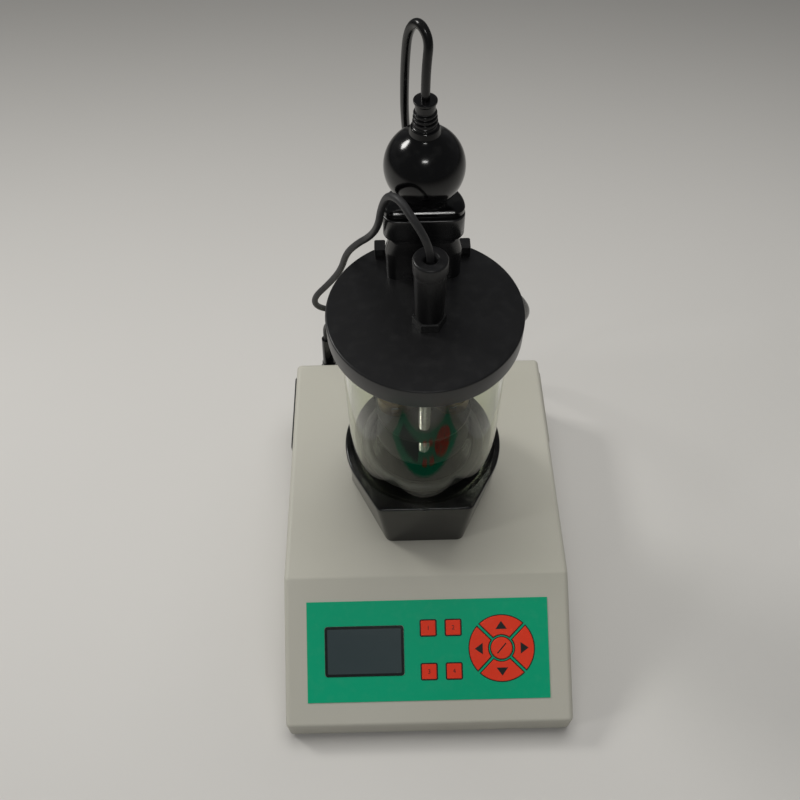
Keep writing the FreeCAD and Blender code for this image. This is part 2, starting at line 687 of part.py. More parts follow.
def make_rocker_switch():
    """Switch housing with a hollow for the rocker, and the rocker on its pivot."""
    bezel = box_tool("switch_across", f"{REAR_FACE} + 1", "port_height - switch_height / 2",
                     "switch_width", 2, "switch_height")
    shell = box_tool("switch_across", f"{REAR_FACE} - 7", "port_height - (switch_height - 3) / 2 + fit_gap",
                     "switch_width - 3 - 2 * fit_gap", 14, "switch_height - 3 - 2 * fit_gap")
    blank = fused("switch_housing_blank", [bezel, shell])
    hollow = box_tool("switch_across", f"{REAR_FACE} - 2", "port_height - rocker_half - 0.8",
                      "rocker_width + 2 * slide_gap", 9, "2 * rocker_half + 1.6")
    cut("switch_housing", blank, [hollow])
    body = new_body("rocker")
    side = new_sketch(body, "YZ_Plane")
    draw_outline(side, [
        ("-1.5", "-1.5"), ("1", "-rocker_half"), ("pivot_inset + 1.5", "-rocker_half"),
        ("pivot_inset + 0.4", "0"), ("pivot_inset + 1.5", "rocker_half"), ("1", "rocker_half"),
        ("-1.5", "1.5"),
    ])
    pad(body, side, "rocker_width", both=True)
    place(body, "switch_across", f"{REAR_FACE} + 2 - pivot_inset", "port_height",
          Rotation(Vector(1, 0, 0), number(S("rocker_tilt"))))
    finish_piece(body, "rocker")


def make_rear_fittings():
    """Fuse holder, cable gland, sensor socket and the connector in it."""
    rear_round("fuse_holder", [
        ("0", "-14"), ("fuse_radius - 1.8", "-14"), ("fuse_radius - 1.8", "0"), ("fuse_radius + 1", "0"),
        ("fuse_radius + 1", "1.5"), ("fuse_radius", "1.5"), ("fuse_radius - 0.6", "fuse_reach"),
        ("0", "fuse_reach"),
    ], "fuse_across", "port_height")
    reach = "(gland_reach - sheet_thick)"
    rear_round("heater_gland", [
        ("heater_cable / 2 + 0.1", "-8"), ("gland_radius - 2.3", "-8"), ("gland_radius - 2.3", "0"),
        ("gland_radius + 1.5", "0"), ("gland_radius + 1.5", "4"), ("gland_radius", "4"),
        (f"gland_radius", f"{reach} - 6"), (f"gland_radius - 3.6", reach), ("heater_cable / 2 + 0.1", reach),
    ], "gland_across", "port_height")
    rear_round("sensor_socket", [
        ("0", "-10"), ("sensor_radius - 2.3", "-10"), ("sensor_radius - 2.3", "0"), ("sensor_radius", "0"),
        ("sensor_radius", "sensor_reach"), ("0", "sensor_reach"),
    ], "sensor_across", "sensor_height")
    barrel = rear_round("sensor_connector", [
        ("0", "sensor_reach"), ("elbow_radius - 1", "sensor_reach"), ("elbow_radius", "sensor_reach + 2"),
        ("elbow_radius", "sensor_reach + elbow_length - 3"),
        ("elbow_radius - 3", "sensor_reach + elbow_length"), ("0", "sensor_reach + elbow_length"),
    ], "sensor_across", "sensor_height")
    boot_middle = f"{REAR_FACE} + sensor_reach + elbow_length / 2"
    boot = turned("sensor_boot", [
        ("0", "0"), ("boot_radius + 0.8", "0"), ("boot_radius + 0.8", "elbow_radius + 4"),
        ("boot_radius", "elbow_radius + 6"), ("boot_radius - 1.6", "boot_top - sensor_height"),
        ("0", "boot_top - sensor_height"),
    ], x="sensor_across", y=boot_middle, z="sensor_height")
    fused("sensor_connector", [barrel, boot])


def make_side_vents():
    """Slotted vent plates on both side walls."""
    for label, side_sign, turn in (("side_vent_left", -1, -90), ("side_vent_right", 1, 90)):
        body = new_body(label)
        face = new_sketch(body, "XY_Plane")
        draw_box(face, "0", "0", "vent_length", "vent_height")
        pad(body, face, "vent_reach")
        round_edges(body, lambda edge: edge.BoundBox.ZLength > 1, "3")
        round_edges(body, lambda edge: edge.BoundBox.ZMin > number(S("vent_reach")) - 0.01, "0.8",
                    "PartDesign::Chamfer")
        slot = new_sketch(body, "XY_Plane", "slot")
        draw_box(slot, "-3.5 * slot_pitch", "0", "slot_width", "vent_height - 10")
        first = pocket(body, slot, "vent_reach", forward=True)
        row = body.newObject("PartDesign::LinearPattern", "slots")
        row.Originals = [first]
        row.Direction = (slot, ["H_Axis"])
        row.Length = number(S("7 * slot_pitch"))
        row.setExpression("Length", S("7 * slot_pitch"))
        row.Occurrences = 8
        body.Tip = row
        doc.recompute()
        upright = Rotation(Vector(0, 0, 1), turn) * Rotation(Vector(1, 0, 0), 90)
        place(body, f"{side_sign} * case_width / 2", f"{BACK} - vent_setback - vent_length / 2",
              "case_top - vent_drop - vent_height / 2", upright)
        finish_piece(body, label)


def make_overlay():
    """Keypad overlay with a window opening, a hole for each key and webs between the arrow keys."""
    body = plate("overlay", 0, "overlay_rise + overlay_height / 2", "overlay_width", "overlay_height",
                 "overlay_thick")
    openings = new_sketch(body, "XY_Plane", "window")
    draw_rounded_box(openings, "window_across", "face_rise", "window_width + 2 * slide_gap",
                     "window_height + 2 * slide_gap", "window_corner")
    pocket(body, openings, "overlay_thick", forward=True)
    for label, (across, up) in KEY_PLACES.items():
        hole = new_sketch(body, "XY_Plane", label + "_hole")
        draw_box(hole, across, up, "key_side + 2 * slide_gap", "key_side + 2 * slide_gap")
        pocket(body, hole, "overlay_thick", forward=True)
    middle = new_sketch(body, "XY_Plane", "middle_hole")
    draw_circle(middle, "pad_across", "face_rise", "pad_middle + slide_gap")
    pocket(body, middle, "overlay_thick", forward=True)
    for label, turn in ARROW_TURNS.items():
        hole = new_sketch(body, "XY_Plane", label + "_hole")
        corners = turn_corners(arrow_outline("slide_gap"), turn)
        draw_outline(hole, [(f"pad_across + {corner[0]}", f"face_rise + {corner[1]}") + tuple(corner[2:])
                            for corner in corners])
        pocket(body, hole, "overlay_thick", forward=True)
    on_panel(body)
    finish_piece(body, "overlay")


def make_display():
    """Window plate on the case sheet and the display module behind it."""
    window = new_body("display_window")
    pane = new_sketch(window, "XY_Plane")
    draw_rounded_box(pane, "0", "0", "window_width", "window_height", "window_corner")
    pad(window, pane, "window_thick")
    on_panel(window, "window_across", "face_rise")
    finish_piece(window, "display_window")
    module = plate("display_module", 0, 0, "screen_width + 2 * module_margin",
                   "screen_height + 2 * module_margin", "module_depth", lift=f"-{WALL} - module_depth")
    glass = new_sketch(module, "XY_Plane", "glass", lift=f"-{WALL}")
    draw_box(glass, "0", "0", "screen_width - 1", "screen_height - 1")
    pad(module, glass, f"{WALL} - 0.3")
    on_panel(module, "window_across", "face_rise")
    finish_piece(module, "display_module")


def make_keys():
    """Nine keys: four square ones, four arrow keys and a round one in the middle."""
    for label, (across, up) in KEY_PLACES.items():
        body = plate(label, 0, 0, "key_side", "key_side", "key_stand + key_depth", lift="-key_depth")
        round_edges(body, lambda edge: edge.BoundBox.ZLength > 1, "0.8")
        round_edges(body, lambda edge: edge.BoundBox.ZMin > number(S("key_stand")) - 0.01, "0.4")
        on_panel(body, across, up)
        finish_piece(body, label)
    for label, turn in ARROW_TURNS.items():
        body = new_body(label)
        face = new_sketch(body, "XY_Plane", lift="-key_depth")
        draw_outline(face, arrow_outline("0"))
        pad(body, face, "key_stand + key_depth")
        round_edges(body, lambda edge: edge.BoundBox.ZMin > number(S("key_stand")) - 0.01, "0.4")
        on_panel(body, "pad_across", "face_rise", turn=turn)
        finish_piece(body, label)
    middle = turned("key_middle", [
        ("0", "-key_depth"), ("pad_middle", "-key_depth"), ("pad_middle", "key_stand - 0.5"),
        ("pad_middle - 0.5", "key_stand"), ("0", "key_stand"),
    ])
    on_panel(middle, "pad_across", "face_rise")


def make_key_board():
    """Circuit board behind the keys, with a switch under each key and posts to the case sheet."""
    top = "(-key_depth - key_travel - 0.2 - tact_height)"
    middle = "((key_column + pad_across) / 2 + 8)"
    board = box_tool(middle, "face_rise", f"{top} - board_thick", "board_width", "board_height",
                     "board_thick", base=PANEL)
    parts = [board]
    places = list(KEY_PLACES.values()) + [("pad_across", "face_rise")]
    for turn in ARROW_TURNS.values():
        across = f"pad_across + {ARROW_REACH} * {round(math.cos(math.radians(turn)))}"
        up = f"face_rise + {ARROW_REACH} * {round(math.sin(math.radians(turn)))}"
        places.append((across, up))
    for across, up in places:
        parts.append(box_tool(across, up, top, "tact_side", "tact_side", "tact_height - 0.8", base=PANEL))
        parts.append(round_tool(across, up, top, 1.75, "tact_height", base=PANEL))
    for side in (-1, 1):
        for end in (-1, 1):
            across = f"{middle} + {side} * (board_width / 2 - post_radius)"
            up = f"face_rise + {end} * (board_height / 2 - post_radius)"
            parts.append(round_tool(across, up, top, "post_radius", f"-{top} - {WALL}", base=PANEL))
    fused("key_board", parts)


def make_stirrer():
    """Motor, bracket, and the drive hub with its shaft and two magnets."""
    turned("stirrer_motor", [
        ("0", "-motor_length"), ("motor_radius - 2", "-motor_length"), ("motor_radius", "2 - motor_length"),
        ("motor_radius", "0"), ("boss_radius", "0"), ("boss_radius", "boss_height"),
        ("shaft_radius + run_gap", "boss_height"), ("shaft_radius + run_gap", "-shaft_depth"),
        ("0", "-shaft_depth"),
    ], y=AXIS, z="case_top - sheet_thick - bracket_thick")
    base = box_tool(0, AXIS, "case_top - sheet_thick - bracket_thick", "bracket_side", "bracket_side",
                    "bracket_thick")
    skirts = []
    for side in (-1, 1):
        skirts.append(box_tool(f"{side} * (bracket_side - bracket_thick) / 2", AXIS,
                               "case_top - sheet_thick - bracket_skirt", "bracket_thick", "bracket_side",
                               "bracket_skirt"))
    blank = fused("motor_bracket_blank", [base] + skirts)
    cut("motor_bracket", blank, [
        round_tool(0, AXIS, "case_top - sheet_thick - 2 * bracket_thick", "boss_radius + run_gap",
                   "3 * bracket_thick"),
    ])
    body = new_body("drive_hub")
    outline = new_sketch(body, "XZ_Plane")
    shaft_foot = "-hub_lift - sheet_thick - bracket_thick - shaft_depth + 0.3"
    draw_outline(outline, [
        ("0", shaft_foot), ("shaft_radius", shaft_foot), ("shaft_radius", "-4"), ("shaft_radius + 4", "-4"),
        ("shaft_radius + 4", "0"), ("hub_radius - 1", "0"), ("hub_radius", "1"),
        ("hub_radius", "hub_height"), ("0", "hub_height"),
    ])
    turn_about(body, outline)
    disc = new_sketch(body, "XY_Plane", "magnet", lift="hub_height")
    draw_circle(disc, "magnet_arm", "0", "magnet_radius")
    draw_circle(disc, "-magnet_arm", "0", "magnet_radius")
    pad(body, disc, "magnet_height")
    place(body, 0, AXIS, "case_top + hub_lift")
    finish_piece(body, "drive_hub")
    bar = new_body("stir_bar")
    shape = new_sketch(bar, "XZ_Plane")
    half = "bar_length / 2"
    draw_outline(shape, [
        ("0", f"-{half}"), ("bar_radius * 0.55", f"-{half}", "left", "bar_radius"),
        ("bar_radius", f"bar_radius - {half}"), ("bar_radius", "-1.5"), ("bar_radius + 0.6", "-1"),
        ("bar_radius + 0.6", "1"), ("bar_radius", "1.5"),
        ("bar_radius", f"{half} - bar_radius", "left", "bar_radius"), ("bar_radius * 0.55", half),
        ("0", half),
    ])
    turn_about(bar, shape)
    place(bar, 0, AXIS, f"{BEAKER_FLOOR} + bar_radius + 0.6 + fit_gap", Rotation(Vector(0, 1, 0), 90))
    finish_piece(bar, "stir_bar")


SEAT_TOP = "(case_top + seat_height)"
BEAKER_FOOT = f"({SEAT_TOP} - recess_depth)"
BEAKER_FLOOR = f"({BEAKER_FOOT} + beaker_floor)"
RIM = f"({BEAKER_FOOT} + beaker_height)"
LID_FOOT = f"({RIM} - lid_recess)"
LID_TOP = f"({LID_FOOT} + lid_thick)"
SOCKET_TOP = f"({LID_TOP} + socket_height)"
ROD_FOOT = f"({RIM} - rod_drop)"
LOWER_PLATE = f"({ROD_FOOT} + plate_lift)"
RING_FOOT = f"({LOWER_PLATE} + plate_thick + plate_gap)"
RING_SHOULDER = f"({RING_FOOT} + ring_height - shoulder_height)"
UPPER_PLATE = f"({RING_SHOULDER} - plate_thick)"
PROBE_Y = f"({AXIS} - probe_front)"
RECESS = "(seat_radius - seat_wall)"
GLASS = f"({RECESS} - beaker_play)"
BORE = f"({GLASS} - beaker_wall)"
LID_RADIUS = f"({GLASS} + rim_flare + lid_overhang)"
LOOP = f"({BORE} - coil_gap)"
SOCKET_Y = f"({AXIS} + {LOOP} - socket_front)"


def draw_seat_outline(sketch, front, side, end, radius):
    """Front facet, rounded corner, side facet and round back. A side facet ends at (side, -end)."""
    across = f"({side} - {front})"
    along = f"(seat_radius - {end})"
    length = f"sqrt({across} ^ 2 + {along} ^ 2)"
    reach = f"(seat_corner * ({length} - {across}) / {along})"
    turn_x = f"({front} + {reach} * {across} / {length})"
    turn_y = f"({reach} * {along} / {length} - seat_radius)"
    draw_outline(sketch, [
        (f"{reach} - {front}", "-seat_radius"), (f"{front} - {reach}", "-seat_radius", "left", "seat_corner"),
        (turn_x, turn_y), (side, f"-{end}", "left", radius), ("0", radius, "left", radius),
        (f"-{side}", f"-{end}"), (f"-{turn_x}", turn_y, "left", "seat_corner"),
    ])


def make_seat():
    """Stirrer seat: round at the back, three facets at the front, drawn in towards its foot."""
    body = new_body("stirrer_seat")
    facet = "(seat_radius * sqrt(3) / 3)"
    shoulder = "(seat_radius * sqrt(3) / 2)"
    foot = "(seat_radius - seat_taper)"
    plan = new_sketch(body, "XY_Plane")
    draw_seat_outline(plan, f"({facet} - facet_taper)", f"sqrt({foot} ^ 2 - facet_end ^ 2)", "facet_end", foot)
    levels = []
    for name in ("band_foot", "band"):
        level = new_sketch(body, "XY_Plane", name, lift="seat_height - rim_band")
        draw_seat_outline(level, facet, shoulder, "(seat_radius / 2)", "seat_radius")
        levels.append(level)
    loft(body, plan, levels[0])
    pad(body, levels[1], "rim_band")
    high = number(S("seat_height"))
    round_edges(body, lambda edge: edge.BoundBox.ZMin > high - 0.01, "seat_edge")
    recess = new_sketch(body, "XY_Plane", "recess", lift="seat_height")
    draw_circle(recess, "0", "0", RECESS)
    pocket(body, recess, "recess_depth")
    hollow = new_sketch(body, "XY_Plane", "hollow")
    draw_circle(hollow, "0", "0", "hollow_radius")
    pocket(body, hollow, "seat_height - recess_depth - seat_floor", forward=True)
    notch = new_sketch(body, "XY_Plane", "notch", lift="seat_height")
    draw_box(notch, "0", "-seat_radius + 1", "notch_width", "2 * seat_wall")
    pocket(body, notch, "notch_depth")
    place(body, 0, AXIS, "case_top")
    finish_piece(body, "stirrer_seat")


def make_beaker():
    """Low-form glass beaker with a rounded foot and a turned-out rim."""
    inner = BORE
    bend = "(beaker_heel - beaker_wall)"
    turned("beaker", [
        ("0", "0"), (f"{GLASS} - beaker_heel", "0", "left", "beaker_heel"),
        (GLASS, "beaker_heel"), (GLASS, "beaker_height - rim_height"),
        (f"{GLASS} + rim_flare", "beaker_height"), (f"{inner} + rim_flare", "beaker_height"),
        (inner, "beaker_height - rim_height"), (inner, f"beaker_floor + {bend}", "right", bend),
        (f"{inner} - {bend}", "beaker_floor"), ("0", "beaker_floor"),
    ], y=AXIS, z=BEAKER_FOOT)


def make_lid():
    """Turned lid with a shallow seat for the beaker's rim and holes for what hangs from it."""
    blank = turned("lid", [
        ("0", "lid_recess"), (f"{GLASS} + rim_flare + lid_play", "lid_recess"),
        (f"{GLASS} + rim_flare + lid_play", "0"), (f"{LID_RADIUS} - lid_edge", "0", "left", "lid_edge"),
        (LID_RADIUS, "lid_edge"), (LID_RADIUS, "lid_thick - lid_edge", "left", "lid_edge"),
        (f"{LID_RADIUS} - lid_edge", "lid_thick"), ("0", "lid_thick"),
    ], y=AXIS, z=LID_FOOT)
    through = f"{LID_FOOT} - 1"
    tools = [
        round_tool("probe_across", PROBE_Y, through, "probe_radius + run_gap", "lid_thick + 2"),
        round_tool("probe_across", PROBE_Y, f"{LID_TOP} - stem_depth", "stem_radius + run_gap",
                   "stem_depth + 1"),
    ]
    for side in (-1, 1):
        tools.append(round_tool(0, f"{AXIS} + {side} * rod_arm", through, "rod_radius + run_gap",
                                "rod_grip + lid_recess + 1"))
        leg_x, leg_y = heater_leg(side)
        tools.append(round_tool(leg_x, leg_y, through, "coil_tube + run_gap", "lid_thick + 2"))
    cut("lid", blank, tools)


def heater_leg(side):
    """Where a leg of the heater stands: one bend before the loop starts."""
    opening = "(coil_open * 1 deg)"
    across = f"{side} * ({LOOP} * sin({opening}) - coil_bend * cos({opening}))"
    along = f"{AXIS} + {LOOP} * cos({opening}) + coil_bend * sin({opening})"
    return across, along


def make_heater_element():
    """Tube heater: two legs from the lid, each bent into one loop round the beaker floor."""
    angle = math.radians(number(S("coil_open")))
    loop = number(S(LOOP))
    bend = number(S("coil_bend"))
    axis = number(S(AXIS))
    low = number(S(f"{BEAKER_FLOOR} + coil_lift"))
    high = number(S(LID_TOP))
    edges = []
    ends = []
    for side in (-1, 1):
        foot = Vector(side * loop * math.sin(angle), axis + loop * math.cos(angle), low)
        inward = Vector(-side * math.cos(angle), math.sin(angle), 0)
        leg = foot + inward * bend
        knee = Vector(leg.x, leg.y, low + bend)
        slant = math.sqrt(0.5) * bend
        middle = leg + Vector(0, 0, bend) - inward * (bend - slant) * 1 + Vector(0, 0, -slant)
        ends.append((Vector(leg.x, leg.y, high), knee, middle, foot))
    top, knee, middle, foot = ends[0]
    edges.append(Part.LineSegment(top, knee).toShape())
    edges.append(Part.Arc(knee, middle, foot).toShape())
    edges.append(Part.Arc(foot, Vector(0, axis - loop, low), ends[1][3]).toShape())
    edges.append(Part.Arc(ends[1][3], ends[1][2], ends[1][1]).toShape())
    edges.append(Part.LineSegment(ends[1][1], ends[1][0]).toShape())
    spine = Part.Wire(edges)
    tube = sweep(spine, top, Vector(0, 0, -1), number(S("coil_tube")))
    heater = doc.addObject("Part::Feature", "heater_element")
    heater.Shape = tube
    finish_piece(heater, "heater_element")


def sweep(spine, start, direction, radius):
    """A round tube along a wire."""
    ring = Part.Wire(Part.Circle(start, direction, radius).toShape())
    shell = Part.BRepOffsetAPI.MakePipeShell(spine)
    shell.setFrenetMode(False)
    shell.add(ring)
    shell.build()
    shell.makeSolid()
    return shell.shape()


def make_rack():
    """Ring-and-ball rack: two rods with cap nuts, two plates, sample rings and ball guides."""
    for label, side in (("front", -1), ("rear", 1)):
        along = f"{AXIS} + {side} * rod_arm"
        turned(f"rod_{label}", [
            ("0", "0"), ("rod_radius - 0.6", "0"), ("rod_radius", "0.6"),
            ("rod_radius", "rod_drop + rod_grip"), ("0", "rod_drop + rod_grip"),
        ], y=along, z=ROD_FOOT)
        dome = "sqrt(cap_radius ^ 2 - 1)"
        turned(f"cap_nut_{label}", [
            ("0", "-cap_height"), ("1", "-cap_height", "left", "cap_radius"),
            ("cap_radius", f"{dome} - cap_height"), ("cap_radius", "plate_lift - run_gap"),
            ("rod_radius + run_gap", "plate_lift - run_gap"), ("rod_radius + run_gap", "-run_gap"),
            ("0", "-run_gap"),
        ], y=along, z=ROD_FOOT)
    for label, level, hole in (("ring_plate", UPPER_PLATE, "ring_lower + run_gap"),
                               ("lower_plate", LOWER_PLATE, None)):
        body = new_body(label)
        disc = new_sketch(body, "XY_Plane")
        draw_circle(disc, "0", "0", "plate_radius")
        pad(body, disc, "plate_thick")
        holes = new_sketch(body, "XY_Plane", "holes")
        draw_circle(holes, "0", "rod_arm", "rod_radius + run_gap")
        draw_circle(holes, "0", "-rod_arm", "rod_radius + run_gap")
        draw_circle(holes, "probe_across", "-probe_front", "probe_radius + 1")
        if hole:
            draw_circle(holes, "ring_arm", "0", hole)
            draw_circle(holes, "-ring_arm", "0", hole)
        pocket(body, holes, "plate_thick", forward=True)
        place(body, 0, AXIS, level)
        finish_piece(body, label)
    for label, side in (("left", -1), ("right", 1)):
        turned(f"sample_ring_{label}", [
            ("ring_bore", "0"), ("ring_lower", "0"), ("ring_lower", "ring_height - shoulder_height"),
            ("ring_outer", "ring_height - shoulder_height"), ("ring_outer", "ring_height"),
            ("ring_mouth", "ring_height"), ("ring_bore", "ring_height - 2.8"),
        ], x=f"{side} * ring_arm", y=AXIS, z=RING_FOOT)
        make_ball_guide(f"ball_guide_{label}", side)


def make_ball_guide(label, side):
    """Thin cap over the sample ring with a centring hole and four side windows."""
    body = new_body(label)
    wall = new_sketch(body, "XZ_Plane")
    inner = "(ring_outer + run_gap)"
    top = "(shoulder_height + guide_height)"
    draw_outline(wall, [
        (inner, "0"), (f"{inner} + guide_wall", "0"), (f"{inner} + guide_wall", top),
        ("guide_mouth", top), ("guide_mouth", f"{top} - guide_wall"), (inner, f"{top} - guide_wall"),
    ])
    turn_about(body, wall)
    window = new_sketch(body, "XZ_Plane", "window")
    draw_box(window, "0", "shoulder_height + guide_height / 2", "guide_window", "guide_height - 3")
    first = pocket(body, window, "ring_outer + 3")
    ring = body.newObject("PartDesign::PolarPattern", "windows")
    ring.Originals = [first]
    ring.Axis = (wall, ["V_Axis"])
    ring.Angle = 360
    ring.Occurrences = 4
    body.Tip = ring
    doc.recompute()
    place(body, f"{side} * ring_arm", AXIS, RING_SHOULDER)
    finish_piece(body, label)


def make_probe():
    """Probe tube, the handle it hangs from, and the nut that clamps the handle to the lid."""
    dome = "probe_radius"
    turned("probe", [
        ("0", "0", "left", dome), (dome, dome), ("probe_radius", f"probe_drop + lid_thick - lid_recess - stem_depth"),
        ("0", f"probe_drop + lid_thick - lid_recess - stem_depth"),
    ], x="probe_across", y=PROBE_Y, z=f"{RIM} - probe_drop")
    line = "(handle_height - handle_collar)"
    turned("sensor_handle", [
        ("0", "-stem_depth"), ("stem_radius", "-stem_depth"), ("stem_radius", "nut_height"),
        ("handle_foot", "nut_height"), (f"handle_top - 0.6", f"{line} - 1"), (f"handle_top - 0.6", f"{line}"),
        ("handle_top", f"{line} + 0.8"), ("handle_top", "handle_height - 1.2"),
        ("handle_top - 1.2", "handle_height"), ("handle_bore", "handle_height"),
        ("handle_bore", "handle_height - handle_well"), ("0", "handle_height - handle_well"),
    ], x="probe_across", y=PROBE_Y, z=LID_TOP)
    body = new_body("hex_nut")
    face = new_sketch(body, "XY_Plane")
    corner = "(nut_across / sqrt(3))"
    flat = "nut_across / 2"
    draw_outline(face, [
        (corner, "0"), (f"{corner} / 2", flat), (f"-{corner} / 2", flat), (f"-{corner}", "0"),
        (f"-{corner} / 2", f"-{flat}"), (f"{corner} / 2", f"-{flat}"),
    ])
    pad(body, face, "nut_height")
    high = number(S("nut_height"))
    round_edges(body, lambda edge: edge.BoundBox.ZMin > high - 0.01, "0.8", "PartDesign::Chamfer")
    bore = new_sketch(body, "XY_Plane", "bore")
    draw_circle(bore, "0", "0", "stem_radius + run_gap")
    pocket(body, bore, "nut_height", forward=True)
    place(body, "probe_across", PROBE_Y, LID_TOP)
    finish_piece(body, "hex_nut")


def make_heater_socket():
    """Heater socket on the lid: round with a flat front, a waist, and a strap with two ears behind."""
    column = new_body("socket_column")
    waist_foot = "foot_band + waist_slope"
    waist_top = f"{waist_foot} + waist_band"
    collar_foot = f"{waist_top} + collar_slope"
    outlines = {}
    for name, level, radius, front in (
        ("foot", "0", "socket_foot", "foot_flat"), ("foot_top", "foot_band", "socket_foot", "foot_flat"),
        ("waist_low", waist_foot, "socket_waist", "waist_flat"),
        ("waist", waist_foot, "socket_waist", "waist_flat"),
        ("waist_top", waist_top, "socket_waist", "waist_flat"),
        ("collar_low", collar_foot, "socket_collar", "collar_flat"),
        ("collar", collar_foot, "socket_collar", "collar_flat"),
    ):
        outlines[name] = new_sketch(column, "XY_Plane", name, lift=level)
        draw_flat_fronted(outlines[name], radius, front)
    pad(column, outlines["foot"], "foot_band")
    loft(column, outlines["foot_top"], outlines["waist_low"])
    pad(column, outlines["waist"], "waist_band")
    loft(column, outlines["waist_top"], outlines["collar_low"])
    pad(column, outlines["collar"], f"socket_height - ({collar_foot})")
    high = number(S("socket_height"))
    round_edges(column, lambda edge: edge.BoundBox.ZMin > high - 0.01, "1")
    place(column, 0, SOCKET_Y, LID_TOP)
    parts = [column]
    back = f"{SOCKET_Y} + ear_back"
    parts.append(box_tool(0, back, LID_TOP, "2 * ear_across + ear_width", "ear_depth", "strap_thick"))
    for side in (-1, 1):
        parts.append(box_tool(f"{side} * ear_across", back, LID_TOP, "ear_width", "ear_depth", "ear_height"))
    blank = fused("heater_socket_blank", parts)
    bores = []
    for side in (-1, 1):
        bores.append(round_tool(f"{side} * pin_arm", SOCKET_Y, f"{SOCKET_TOP} - pin_length - 1",
                                "pin_radius + run_gap", "pin_length + 2"))
    cut("heater_socket", blank, bores)


def make_plug():
    """Moulded heater plug: flat-fronted flange, neck, round grip and shoulder, with two pins."""
    top = "shoulder_rise"
    knob = new_body("plug_grip")
    flange = new_sketch(knob, "XY_Plane")
    draw_flat_fronted(flange, "flange_radius", "flange_flat")
    pad(knob, flange, "flange_height")
    high = number(S("flange_height"))
    round_edges(knob, lambda edge: edge.BoundBox.ZMin > high - 0.01, "1.4")
    belly = "(ball_radius - ball_round + sqrt(ball_round ^ 2 - ball_half ^ 2))"
    grip = new_sketch(knob, "XZ_Plane", "grip")
    draw_outline(grip, [
        ("0", "flange_height - 1"), ("neck_radius", "flange_height - 1"), ("neck_radius", "neck_rise"),
        (belly, "ball_rise - ball_half", "left", "ball_round"), (belly, "ball_rise + ball_half"),
        ("shoulder_radius", f"{top} - 1"), ("shoulder_radius - 0.8", top), ("0", top),
    ])
    turn_about(knob, grip)
    place(knob, 0, SOCKET_Y, SOCKET_TOP)
    pins = []
    for side in (-1, 1):
        pins.append(round_tool(f"{side} * pin_arm", SOCKET_Y, f"{SOCKET_TOP} - pin_length", "pin_radius",
                               "pin_length + 2"))
    fused("plug_body", [knob] + pins)
    count = int(number(S("sleeve_ribs")))
    rise = "(sleeve_height - 6)"
    corners = [("0", "0"), ("sleeve_foot", "0")]
    for rib in range(count):
        share = rib / count
        radius = f"(sleeve_foot + (sleeve_neck - sleeve_foot) * {share})"
        slim = f"(sleeve_foot + (sleeve_neck - sleeve_foot) * {share + 0.6 / count})"
        foot = f"{rise} * {share}"
        corners.append((f"{radius} + rib_reach * {min(rib, 1)}", f"{foot} + {rise} * {0.25 / count}"))
        corners.append((f"{radius} + rib_reach * {min(rib, 1)} - 0.3", f"{foot} + {rise} * {0.5 / count}"))
        corners.append((slim, f"{foot} + {rise} * {0.65 / count}"))
        corners.append((slim, f"{foot} + {rise} * {0.95 / count}"))
    corners += [
        ("sleeve_neck", rise), ("sleeve_neck", "sleeve_height - 3"), ("sleeve_top", "sleeve_height - 1.6"),
        ("sleeve_top", "sleeve_height - 0.6"), ("sleeve_top - 0.6", "sleeve_height"), ("0", "sleeve_height"),
    ]
    turned("plug_sleeve", corners, y=SOCKET_Y, z=f"{SOCKET_TOP} + {top}")


def make_cable(label, route, diameter):
    """A limp cable: straight runs joined by tangent arcs as large as the two runs allow."""
    radius = number(S(diameter)) / 2
    points = [Vector(*spot) for spot in route]
    edges = []
    bends = []
    length = 0
    start = points[0]
    for before, corner, after in zip(points, points[1:], points[2:]):
        back = (before - corner).normalize()
        ahead = (after - corner).normalize()
        half_turn = (math.pi - back.getAngle(ahead)) / 2
        reach = 0.45 * min((before - corner).Length, (after - corner).Length)
        bend = reach / math.tan(half_turn)
        bisector = (back + ahead).normalize()
        centre = corner + bisector * (bend / math.cos(half_turn))
        entry = corner + back * reach
        leaving = corner + ahead * reach
        edges.append(Part.LineSegment(start, entry).toShape())
        edges.append(Part.Arc(entry, centre - bisector * bend, leaving).toShape())
        length += (entry - start).Length + 2 * half_turn * bend
        bends.append(round(bend, 1))
        start = leaving
    edges.append(Part.LineSegment(start, points[-1]).toShape())
    length += (points[-1] - start).Length
    tube = sweep(Part.Wire(edges), points[0], points[1] - points[0], radius)
    expected = math.pi * radius ** 2 * length
    print(f"{label}: length {length:.1f}, bends {bends}, volume {tube.Volume:.0f} of {expected:.0f}")
    if abs(tube.Volume - expected) > 0.02 * expected:
        raise RuntimeError(f"{label}: the tube's volume is off")
    cable = doc.addObject("Part::Feature", label)
    cable.Shape = tube
    finish_piece(cable, label)


